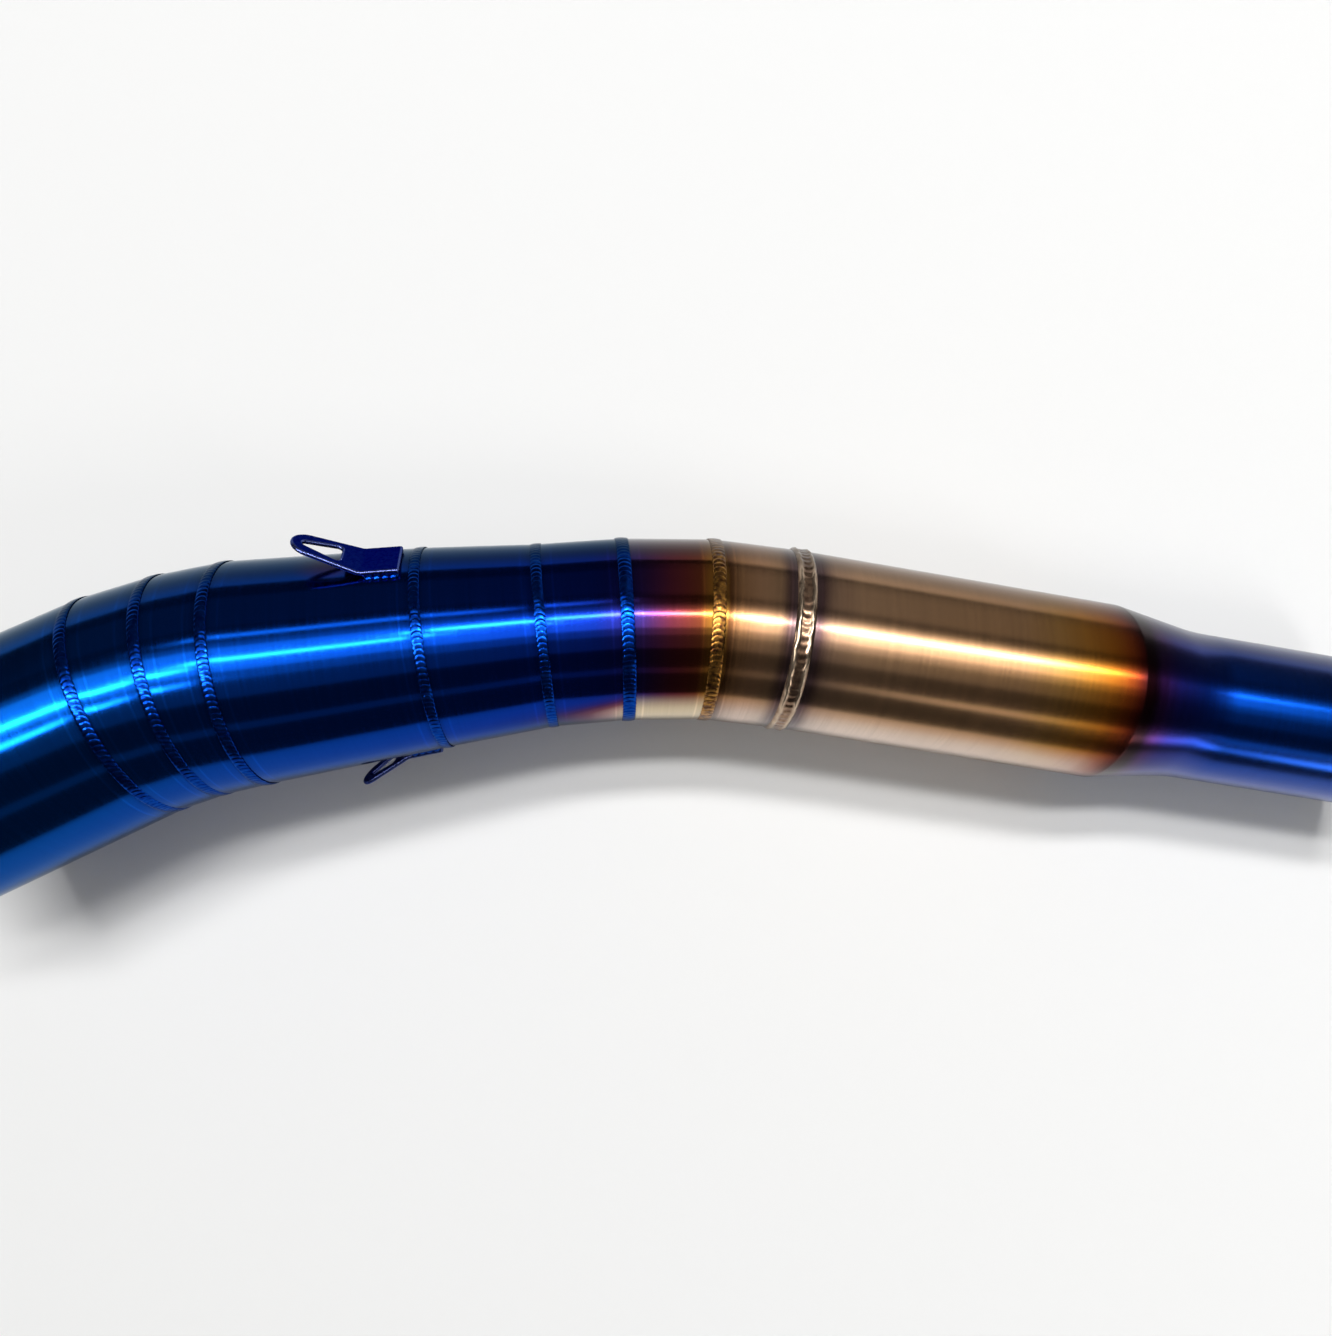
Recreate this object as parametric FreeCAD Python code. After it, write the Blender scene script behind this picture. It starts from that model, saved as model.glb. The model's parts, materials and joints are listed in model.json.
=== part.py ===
"""Motorbike exhaust link pipe, welded up from mitred titanium tube and lying at rest on a floor.

The centreline lies in one plane and turns a little at each of eight welded joints. It starts at the
wide outlet at -X, narrows through two tapered pieces, and ends in a straight inlet tube whose far end
is swaged down to a neck at +X. Two spring hooks stand on the large taper, one on each side of the bend.
Sizes are in millimetres and degrees.
"""
import FreeCAD, Part
import math
import os

from FreeCAD import Matrix, Placement, Rotation, Vector

# Tube diameters, outside, and the wall they share
OUTLET_DIAMETER = 60.5
STEP_DIAMETER = 55.0
MIDDLE_DIAMETER = 50.8
INLET_DIAMETER = 42.7
WALL = 1.0

# Lengths along the centreline, from the outlet's mouth to the inlet's mouth
OUTLET_TUBE_LENGTH = 54.0
OUTLET_MITRE_1_LENGTH = 15.5
OUTLET_MITRE_2_LENGTH = 14.5
LARGE_TAPER_LENGTH = 49.0
SMALL_TAPER_LENGTH = 30.0
BEND_MITRE_1_LENGTH = 22.0
BEND_MITRE_2_LENGTH = 23.5
BEND_MITRE_3_LENGTH = 22.5
INLET_TUBE_LENGTH = 92.0
SWAGE_LENGTH = 24.0
NECK_LENGTH = 73.0

# Direction of the outlet tube, and the turn at each welded joint
OUTLET_HEADING = 25.5
TURN_1 = 7.0
TURN_2 = 6.5
TURN_3 = 4.5
TURN_4 = 1.5
TURN_5 = 2.0
TURN_6 = 4.5
TURN_7 = 7.0
TURN_8 = 2.5

# Rounding of the swage where it leaves the inlet tube and where it meets the neck
CREASE_RADIUS = 3.0
NECK_RADIUS = 60.0

# Weld beads: width on the tube and height above it
OUTLET_BEAD_WIDTH = 3.4
OUTLET_BEAD_HEIGHT = 0.6
BEND_BEAD_WIDTH = 4.0
BEND_BEAD_HEIGHT = 0.7
INLET_BEAD_WIDTH = 5.4
INLET_BEAD_HEIGHT = 0.9

# Shallow groove under the middle of each bead, clear of the small step where a taper meets a tube
ROOT_GROOVE_WIDTH = 0.6
ROOT_GROOVE_DEPTH = 0.2

# Spring hooks: a bent plate with a rounded nose and a three-cornered eye.
# An angle is round the taper, from the outside of the bend at 0 to the top of the pipe at 90
OUTER_HOOK_ANGLE = 44.0
INNER_HOOK_ANGLE = 210.0
HOOK_TO_WELD = 1.3
HOOK_THICKNESS = 1.2
HOOK_WIDTH = 13.0
HOOK_FOOT_LENGTH = 9.0
HOOK_LOOP_LENGTH = 16.3
HOOK_NOSE_RADIUS = 4.8
HOOK_BAND_WIDTH = 2.3
HOOK_NOSE_BAND = 2.8
HOOK_EYE_SETBACK = 4.2
HOOK_EYE_NOSE_RADIUS = 1.1
HOOK_EYE_CORNER_RADIUS = 1.0
HOOK_BEND_RADIUS = 3.0
HOOK_LEAN = 26.0
HOOK_WELD_RADIUS = 1.5

# Extra length on a tube before its mitres are cut
MITRE_SPARE = 8.0

# Search for the pipe's rest: how far it may roll or pitch from level, and rounds of narrowing
TIP_LIMIT = 15.0
SEARCH_ROUNDS = 40

UP = Vector(0, 0, 1)

# Each piece: node name, length, outside radius at its outlet side and at its inlet side
PIECES = [
    ("outlet_tube", OUTLET_TUBE_LENGTH, OUTLET_DIAMETER / 2, OUTLET_DIAMETER / 2),
    ("outlet_mitre_1", OUTLET_MITRE_1_LENGTH, OUTLET_DIAMETER / 2, OUTLET_DIAMETER / 2),
    ("outlet_mitre_2", OUTLET_MITRE_2_LENGTH, OUTLET_DIAMETER / 2, OUTLET_DIAMETER / 2),
    ("large_taper", LARGE_TAPER_LENGTH, OUTLET_DIAMETER / 2, STEP_DIAMETER / 2),
    ("small_taper", SMALL_TAPER_LENGTH, STEP_DIAMETER / 2, MIDDLE_DIAMETER / 2),
    ("bend_mitre_1", BEND_MITRE_1_LENGTH, MIDDLE_DIAMETER / 2, MIDDLE_DIAMETER / 2),
    ("bend_mitre_2", BEND_MITRE_2_LENGTH, MIDDLE_DIAMETER / 2, MIDDLE_DIAMETER / 2),
    ("bend_mitre_3", BEND_MITRE_3_LENGTH, MIDDLE_DIAMETER / 2, MIDDLE_DIAMETER / 2),
    ("inlet_tube", INLET_TUBE_LENGTH + SWAGE_LENGTH + NECK_LENGTH, MIDDLE_DIAMETER / 2, INLET_DIAMETER / 2),
]
HOOKED_PIECE = [piece[0] for piece in PIECES].index("large_taper")
HOOK_STATION = LARGE_TAPER_LENGTH - OUTLET_BEAD_WIDTH / 2 - HOOK_TO_WELD - HOOK_FOOT_LENGTH / 2

# Each joint between two pieces: node name of its weld, turn, bead width and bead height
JOINTS = [
    ("weld_1", TURN_1, OUTLET_BEAD_WIDTH, OUTLET_BEAD_HEIGHT),
    ("weld_2", TURN_2, OUTLET_BEAD_WIDTH, OUTLET_BEAD_HEIGHT),
    ("weld_3", TURN_3, OUTLET_BEAD_WIDTH, OUTLET_BEAD_HEIGHT),
    ("weld_4", TURN_4, OUTLET_BEAD_WIDTH, OUTLET_BEAD_HEIGHT),
    ("weld_5", TURN_5, OUTLET_BEAD_WIDTH, OUTLET_BEAD_HEIGHT),
    ("weld_6", TURN_6, BEND_BEAD_WIDTH, BEND_BEAD_HEIGHT),
    ("weld_7", TURN_7, BEND_BEAD_WIDTH, BEND_BEAD_HEIGHT),
    ("weld_8", TURN_8, INLET_BEAD_WIDTH, INLET_BEAD_HEIGHT),
]


def heading_vector(heading):
    """A unit vector in the centreline's plane, at an angle from +X."""
    angle = math.radians(heading)
    return Vector(math.cos(angle), math.sin(angle), 0)


def centreline():
    """Corner points of the centreline, and the direction of each piece, outlet first."""
    heading = OUTLET_HEADING
    points = [Vector(0, 0, 0)]
    directions = []
    turns = [joint[1] for joint in JOINTS] + [0]
    for piece, turn in zip(PIECES, turns):
        directions.append(heading_vector(heading))
        points.append(points[-1] + directions[-1] * piece[1])
        heading -= turn
    return points, directions


def cut_normals(directions):
    """Normals of the planes that end the pieces: square at the mouths, halving the turn at each joint."""
    inner = [(before + after).normalize() for before, after in zip(directions, directions[1:])]
    return [directions[0]] + inner + [directions[-1]]


def beyond(point, normal):
    """A block that fills the far side of a plane."""
    size = 4 * max(OUTLET_DIAMETER, STEP_DIAMETER, MIDDLE_DIAMETER, INLET_DIAMETER)
    block = Part.makeBox(size, size, size)
    centred = Placement(Vector(-size / 2, -size / 2, 0), Rotation())
    block.Placement = Placement(point, Rotation(UP, normal)).multiply(centred)
    return block


def rounded_corner(before, corner, after, radius):
    """Start, middle and end of the arc that rounds a corner."""
    back = (before - corner).normalize()
    onward = (after - corner).normalize()
    half_angle = back.getAngle(onward) / 2
    reach = radius / math.tan(half_angle)
    centre = corner + (back + onward).normalize() * (radius / math.sin(half_angle))
    middle = centre + (corner - centre).normalize() * radius
    return corner + back * reach, middle, corner + onward * reach


def straight_bar(start, direction, length, start_radius, end_radius):
    """A solid cylinder or cone, run on past both ends so that its mitres can be cut."""
    slope = (end_radius - start_radius) / length
    base = start - direction * MITRE_SPARE
    full_length = length + 2 * MITRE_SPARE
    if slope == 0:
        return Part.makeCylinder(start_radius, full_length, base, direction)
    base_radius = start_radius - slope * MITRE_SPARE
    return Part.makeCone(base_radius, base_radius + slope * full_length, full_length, base, direction)


def swaged_bar(start, direction, radius_loss):
    """The inlet's solid of revolution: tube, swage and neck, with every radius reduced by the loss."""
    tube_radius = MIDDLE_DIAMETER / 2 - radius_loss
    neck_radius = INLET_DIAMETER / 2 - radius_loss
    neck_start = INLET_TUBE_LENGTH + SWAGE_LENGTH
    bottom = Vector(-MITRE_SPARE, 0, 0)
    first = Vector(-MITRE_SPARE, 0, tube_radius)
    crease = Vector(INLET_TUBE_LENGTH, 0, tube_radius)
    neck = Vector(neck_start, 0, neck_radius)
    last = Vector(neck_start + NECK_LENGTH + MITRE_SPARE, 0, neck_radius)
    top = Vector(last.x, 0, 0)
    crease_arc = rounded_corner(first, crease, neck, CREASE_RADIUS)
    neck_arc = rounded_corner(crease, neck, last, NECK_RADIUS)
    edges = [
        Part.makeLine(bottom, first),
        Part.makeLine(first, crease_arc[0]),
        Part.Arc(*crease_arc).toShape(),
        Part.makeLine(crease_arc[2], neck_arc[0]),
        Part.Arc(*neck_arc).toShape(),
        Part.makeLine(neck_arc[2], last),
        Part.makeLine(last, top),
        Part.makeLine(top, bottom),
    ]
    bar = Part.Face(Part.Wire(edges)).revolve(Vector(0, 0, 0), Vector(1, 0, 0), 360)
    bar.Placement = Placement(start, Rotation(Vector(1, 0, 0), direction))
    return bar


def piece_bar(index, points, directions, radius_loss):
    """The solid bar that a piece is cut from, or the bar that hollows it."""
    name, length, start_radius, end_radius = PIECES[index]
    if name == "inlet_tube":
        return swaged_bar(points[index], directions[index], radius_loss)
    return straight_bar(points[index], directions[index], length,
                        start_radius - radius_loss, end_radius - radius_loss)


def mitred(bar, index, points, normals):
    """A bar cut off at the planes that end its piece."""
    before_start = beyond(points[index], normals[index] * -1)
    after_end = beyond(points[index + 1], normals[index + 1])
    return bar.cut(before_start).cut(after_end)


def weld_bead(index, points, normals, bars):
    """The raised ring of weld over a joint, seated on the two tubes that it joins."""
    width, height = JOINTS[index][2:]
    tube_radius = PIECES[index][3]
    crown_radius = (width * width / 4 + height * height) / (2 * height)
    ring_radius = tube_radius + height - crown_radius
    joint, axis = points[index + 1], normals[index + 1]
    ring = Part.makeTorus(ring_radius, crown_radius, joint, axis)
    groove = Part.makeCylinder(tube_radius + ROOT_GROOVE_DEPTH, ROOT_GROOVE_WIDTH,
                               joint - axis * (ROOT_GROOVE_WIDTH / 2), axis)
    return ring.cut(bars[index]).cut(bars[index + 1]).cut(groove)


def taper_radius_at(station):
    """Outside radius of the large taper, a distance along its axis from its outlet side."""
    length, start_radius, end_radius = PIECES[HOOKED_PIECE][1:]
    return start_radius + (end_radius - start_radius) * station / length


def hook_placement(points, directions, hook_angle):
    """Frame of a hook's foot on the large taper: X along the taper to the inlet, Z out of its surface."""
    length, start_radius, end_radius = PIECES[HOOKED_PIECE][1:]
    slope = math.atan((start_radius - end_radius) / length)
    direction = directions[HOOKED_PIECE]
    sideways = Vector(-direction.y, direction.x, 0)
    angle = math.radians(hook_angle)
    radial = sideways * math.cos(angle) + UP * math.sin(angle)
    along = direction * math.cos(slope) - radial * math.sin(slope)
    outward = radial * math.cos(slope) + direction * math.sin(slope)
    across = outward.cross(along)
    foot = points[HOOKED_PIECE] + direction * HOOK_STATION + radial * taper_radius_at(HOOK_STATION)
    return Placement(Matrix(
        along.x, across.x, outward.x, foot.x,
        along.y, across.y, outward.y, foot.y,
        along.z, across.z, outward.z, foot.z,
        0, 0, 0, 1))


def hull_wire(circles):
    """A wire stretched round circles given in counterclockwise order, each as x, y and radius."""
    tangents = []
    for (x1, y1, r1), (x2, y2, r2) in zip(circles, circles[1:] + circles[:1]):
        run = Vector(x2 - x1, y2 - y1, 0)
        angle = math.atan2(run.y, run.x) - math.acos((r1 - r2) / run.Length)
        side = Vector(math.cos(angle), math.sin(angle), 0)
        tangents.append((Vector(x1, y1, 0) + side * r1, Vector(x2, y2, 0) + side * r2, side))
    edges = []
    for (x, y, radius), arriving, leaving in zip(circles, tangents[-1:] + tangents[:-1], tangents):
        if radius > 0:
            middle = Vector(x, y, 0) + (arriving[2] + leaving[2]).normalize() * radius
            edges.append(Part.Arc(arriving[1], middle, leaving[0]).toShape())
        edges.append(Part.makeLine(leaving[0], leaving[1]))
    return Part.Wire(edges)


def hook_loop():
    """The hook's flat loop, from the end of the foot to the nose, before it is bent up."""
    root = -HOOK_FOOT_LENGTH / 2
    half_width = HOOK_WIDTH / 2
    nose_x = root - HOOK_LOOP_LENGTH + HOOK_NOSE_RADIUS
    eye_nose_x = root - HOOK_LOOP_LENGTH + HOOK_NOSE_BAND + HOOK_EYE_NOSE_RADIUS
    outline = [(nose_x, 0, HOOK_NOSE_RADIUS), (root, -half_width, 0), (root, half_width, 0)]
    narrowing = (half_width - HOOK_NOSE_RADIUS) / (root - nose_x)
    corner_x = root - HOOK_EYE_SETBACK - HOOK_EYE_CORNER_RADIUS
    corner_y = half_width - narrowing * (root - corner_x) - HOOK_BAND_WIDTH - HOOK_EYE_CORNER_RADIUS
    eye = [
        (eye_nose_x, 0, HOOK_EYE_NOSE_RADIUS),
        (corner_x, -corner_y, HOOK_EYE_CORNER_RADIUS),
        (corner_x, corner_y, HOOK_EYE_CORNER_RADIUS),
    ]
    plate = Part.Face(hull_wire(outline)).cut(Part.Face(hull_wire(eye)))
    return plate.extrude(UP * HOOK_THICKNESS)


def foot_sag():
    """How far the taper's surface falls away under the edges of a hook's foot."""
    radius = taper_radius_at(HOOK_STATION + HOOK_FOOT_LENGTH / 2)
    return radius - math.sqrt(radius * radius - HOOK_WIDTH * HOOK_WIDTH / 4)


def spring_hook(placement, taper):
    """A hook bent from plate, its foot ground to sit on the taper."""
    root = -HOOK_FOOT_LENGTH / 2
    foot_depth = 2 * foot_sag()
    foot = Part.makeBox(HOOK_FOOT_LENGTH, HOOK_WIDTH, HOOK_THICKNESS + foot_depth,
                        Vector(root, -HOOK_WIDTH / 2, -foot_depth))
    bend_axis = Vector(root, 0, HOOK_THICKNESS + HOOK_BEND_RADIUS)
    corners = [(-HOOK_WIDTH / 2, 0), (HOOK_WIDTH / 2, 0),
               (HOOK_WIDTH / 2, HOOK_THICKNESS), (-HOOK_WIDTH / 2, HOOK_THICKNESS)]
    section = Part.makePolygon([Vector(root, y, z) for y, z in corners + corners[:1]])
    bend = Part.Face(section).revolve(bend_axis, Vector(0, 1, 0), HOOK_LEAN)
    loop = hook_loop()
    loop.rotate(bend_axis, Vector(0, 1, 0), HOOK_LEAN)
    hook = foot.fuse([bend, loop]).removeSplitter()
    hook.Placement = placement.multiply(hook.Placement)
    return hook.cut(taper)


def hook_weld(placement, side, hook, taper):
    """A run of fillet weld along one edge of a hook's foot."""
    half_run = HOOK_FOOT_LENGTH / 2 - HOOK_WELD_RADIUS
    corner = Vector(0, side * HOOK_WIDTH / 2, -foot_sag())
    start = corner - Vector(half_run, 0, 0)
    run = Part.makeCylinder(HOOK_WELD_RADIUS, 2 * half_run, start, Vector(1, 0, 0))
    ends = [Part.makeSphere(HOOK_WELD_RADIUS, start), Part.makeSphere(HOOK_WELD_RADIUS, corner * 2 - start)]
    bead = run.fuse(ends).removeSplitter()
    bead.Placement = placement.multiply(bead.Placement)
    return bead.cut(hook).cut(taper)


def one_solid(shape):
    """The single solid that a cut leaves."""
    (solid,) = shape.Solids
    return solid


def build_nodes():
    """Every node's solid by name, with the centreline level, and the rings that may touch a floor.

    A ring is a centre, an axis and a radius.
    """
    points, directions = centreline()
    normals = cut_normals(directions)
    nodes = {}
    bars = []
    for index, piece in enumerate(PIECES):
        bar = mitred(piece_bar(index, points, directions, 0), index, points, normals)
        bars.append(bar)
        nodes[piece[0]] = one_solid(bar.cut(piece_bar(index, points, directions, WALL)))
    crease = points[-2] + directions[-1] * INLET_TUBE_LENGTH
    rings = [
        (points[0], normals[0], PIECES[0][2]),
        (crease, normals[-1], PIECES[-1][2]),
        (points[-1], normals[-1], PIECES[-1][3]),
    ]
    for index, joint in enumerate(JOINTS):
        nodes[joint[0]] = one_solid(weld_bead(index, points, normals, bars))
        rings.append((points[index + 1], normals[index + 1], PIECES[index][3] + joint[3]))
    for hook_name, hook_angle in (("outer", OUTER_HOOK_ANGLE), ("inner", INNER_HOOK_ANGLE)):
        placement = hook_placement(points, directions, hook_angle)
        hook = spring_hook(placement, bars[HOOKED_PIECE])
        nodes[f"{hook_name}_spring_hook"] = one_solid(hook)
        for weld_name, edge in (("left", 1), ("right", -1)):
            weld = hook_weld(placement, edge, hook, bars[HOOKED_PIECE])
            nodes[f"{hook_name}_hook_weld_{weld_name}"] = one_solid(weld)
    return nodes, rings


def balance_point(solids):
    """Centre of mass of pieces of one metal."""
    total = sum(solid.Volume for solid in solids)
    moment = Vector(0, 0, 0)
    for solid in solids:
        moment += solid.CenterOfMass * solid.Volume
    return moment * (1 / total)


def tipped_up(roll, pitch):
    """The upward direction after the pipe is rolled and pitched, as the pipe sees it."""
    roll = math.radians(roll)
    pitch = math.radians(pitch)
    return Vector(math.sin(pitch), -math.sin(roll) * math.cos(pitch), math.cos(roll) * math.cos(pitch))


def floor_height(rings, corners, up):
    """Height, along an upward direction, of the lowest point of the rings and the corners."""
    heights = [up.dot(centre) - radius * math.sin(up.getAngle(axis)) for centre, axis, radius in rings]
    return min(heights + [up.dot(corner) for corner in corners])


def dip(function, low, high):
    """The place between two bounds where a function with a single dip is lowest."""
    for _ in range(SEARCH_ROUNDS):
        third = (high - low) / 3
        if function(low + third) < function(high - third):
            high -= third
        else:
            low += third
    return (low + high) / 2


def resting_up(rings, corners, balance):
    """The upward direction in which the balance point comes lowest over the floor."""

    def height(roll, pitch):
        up = tipped_up(roll, pitch)
        return up.dot(balance) - floor_height(rings, corners, up)

    def best_pitch(roll):
        return dip(lambda pitch: height(roll, pitch), -TIP_LIMIT, TIP_LIMIT)

    best_roll = dip(lambda roll: height(roll, best_pitch(roll)), -TIP_LIMIT, TIP_LIMIT)
    return tipped_up(best_roll, best_pitch(best_roll))


def resting_placement(nodes, rings):
    """Placement that lays the pipe on z = 0, with the middle of its box over the origin."""
    solids = list(nodes.values())
    corners = [vertex.Point for name in nodes if "hook" in name for vertex in nodes[name].Vertexes]
    up = resting_up(rings, corners, balance_point(solids))
    level = Placement(Vector(0, 0, 0), Rotation(up, UP))
    level_solids = [solid.transformed(level.toMatrix(), True) for solid in solids]
    box = Part.makeCompound(level_solids).optimalBoundingBox(False)
    to_floor = Vector(-box.Center.x, -box.Center.y, -floor_height(rings, corners, up))
    return Placement(to_floor, Rotation()).multiply(level)


def main():
    """Builds the pipe, lays it at rest and writes one file for each node."""
    nodes, rings = build_nodes()
    matrix = resting_placement(nodes, rings).toMatrix()
    os.makedirs("parts", exist_ok=True)
    for name, shape in nodes.items():
        shape.transformed(matrix, True).exportStep(f"parts/{name}.step")


if __name__ == "__main__":
    main()
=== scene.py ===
"""Heat-tinted motorbike exhaust link pipe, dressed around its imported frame.

The centreline is laid again from the two mouths that the record gives. Each piece of tube becomes a smooth
wall with mitred ends and each hook a plate with eased edges. Each weld is a run of overlapping scales, apart
from the heavy last one round the pipe, which is a band with two ridges. Lengths are in millimetres and angles
in degrees until a mesh is made, and meshes are in metres.
"""

import json
import logging
import math
from dataclasses import dataclass, field
from enum import Enum
from typing import Any

import bmesh
import bpy
import numpy as np
from mathutils import Matrix, Vector


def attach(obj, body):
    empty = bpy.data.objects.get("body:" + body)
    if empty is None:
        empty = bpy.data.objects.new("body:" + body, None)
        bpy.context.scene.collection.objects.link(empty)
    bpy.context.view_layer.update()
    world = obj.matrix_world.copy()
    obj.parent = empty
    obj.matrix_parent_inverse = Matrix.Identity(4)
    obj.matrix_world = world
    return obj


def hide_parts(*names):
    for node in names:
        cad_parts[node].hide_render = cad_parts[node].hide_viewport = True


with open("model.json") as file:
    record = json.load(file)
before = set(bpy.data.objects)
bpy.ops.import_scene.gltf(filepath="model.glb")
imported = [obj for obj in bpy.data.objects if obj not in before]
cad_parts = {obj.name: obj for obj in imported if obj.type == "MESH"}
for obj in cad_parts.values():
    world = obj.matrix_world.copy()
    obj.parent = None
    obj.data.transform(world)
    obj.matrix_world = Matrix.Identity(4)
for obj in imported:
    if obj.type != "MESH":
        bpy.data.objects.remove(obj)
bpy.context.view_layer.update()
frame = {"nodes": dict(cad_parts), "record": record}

MM = 0.001
BODY = "root"
STRAIGHTENED = "straightened"
JOINT_GAP = "joint_gap"
ALONG_MAP = "along"
BEND_SIDE = "bend_side"
# Marks where a painted highlight lies: the eased edges of the hooks and the ridges of the heavy weld
RIM_HIGHLIGHT = "rim_highlight"
# Sides run from 1 on the outside of the bend to -1 on the inside. The painted shade on the outside, and the
# tint and painted reflection on the inside, ease in between these
OUTSIDE_FROM = 0.42
OUTSIDE_TO = 0.74
INSIDE_FROM = -0.95
INSIDE_TO = -0.78
# Most of a noise's values lie between these
NOISE_LOW = 0.3
NOISE_HIGH = 0.7
# A Mix node's colour sockets go by number, because its other sockets have the same names
MIX_FIRST = 6
MIX_SECOND = 7
MIX_RESULT = 2
LOG = logging.getLogger("link_pipe")


class Slot(Enum):
    """Material slots of the record."""

    BLUED = "blued_titanium"
    PLUM = "plum_titanium"
    BRONZE = "bronze_titanium"
    BLUED_WELD = "blued_weld"
    STRAW_WELD = "straw_weld"
    HOOK = "hook_titanium"


class Reach(Enum):
    """What a studio lamp falls on."""

    ALL = "all"
    METAL = "metal"
    FLOOR = "floor"


class PlateFace(Enum):
    """Faces of a hook's plate, by the number of the material that marks them while its edges are eased."""

    FLAT = 0
    EASED = 1


class Edge(Enum):
    """The two long edges of a hook's foot, by the side that each lies on."""

    LEFT = 1
    RIGHT = -1


def linear(colour: str) -> tuple[float, float, float, float]:
    """Turns an sRGB hex colour to linear light.

    Args:
        colour: Six hex digits.

    Returns:
        Red, green and blue, with an alpha of 1.
    """
    channels = [int(colour[place:place + 2], 16) / 255 for place in (0, 2, 4)]
    light = [c / 12.92 if c <= 0.04045 else ((c + 0.055) / 1.055) ** 2.4 for c in channels]
    return (light[0], light[1], light[2], 1.0)


def add_node(
    tree: bpy.types.NodeTree, kind: str, settings: dict[str, Any], inputs: dict[str | int, Any]
) -> bpy.types.Node:
    """Adds a node, sets it up and feeds its inputs.

    Args:
        tree: The tree that the node joins.
        kind: The node's Blender type.
        settings: The node's own properties.
        inputs: A value, or a socket to link from, for each input by its name or number.

    Returns:
        The new node.
    """
    node = tree.nodes.new(kind)
    for name, value in settings.items():
        setattr(node, name, value)
    for key, value in inputs.items():
        if isinstance(value, bpy.types.NodeSocket):
            tree.links.new(value, node.inputs[key])
        else:
            node.inputs[key].default_value = value
    return node


def new_metal(name: str, settings: dict[str, Any]) -> tuple[bpy.types.Material, bpy.types.Node]:
    """Makes a bare metal material.

    Args:
        name: The material's name.
        settings: Values for the shader's own sockets.

    Returns:
        The material and its shader node.
    """
    material = bpy.data.materials.new(name)
    material.use_nodes = True
    shader = material.node_tree.nodes["Principled BSDF"]
    shader.inputs["Metallic"].default_value = 1.0
    for socket, value in settings.items():
        shader.inputs[socket].default_value = value
    return material, shader


@dataclass(frozen=True)
class Scorch:
    """A patch beside a small weld where the heat drove the tint on, on the straightened pipe."""

    place: tuple[float, float, float]
    reach: float
    colour: str
    strength: float


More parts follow.
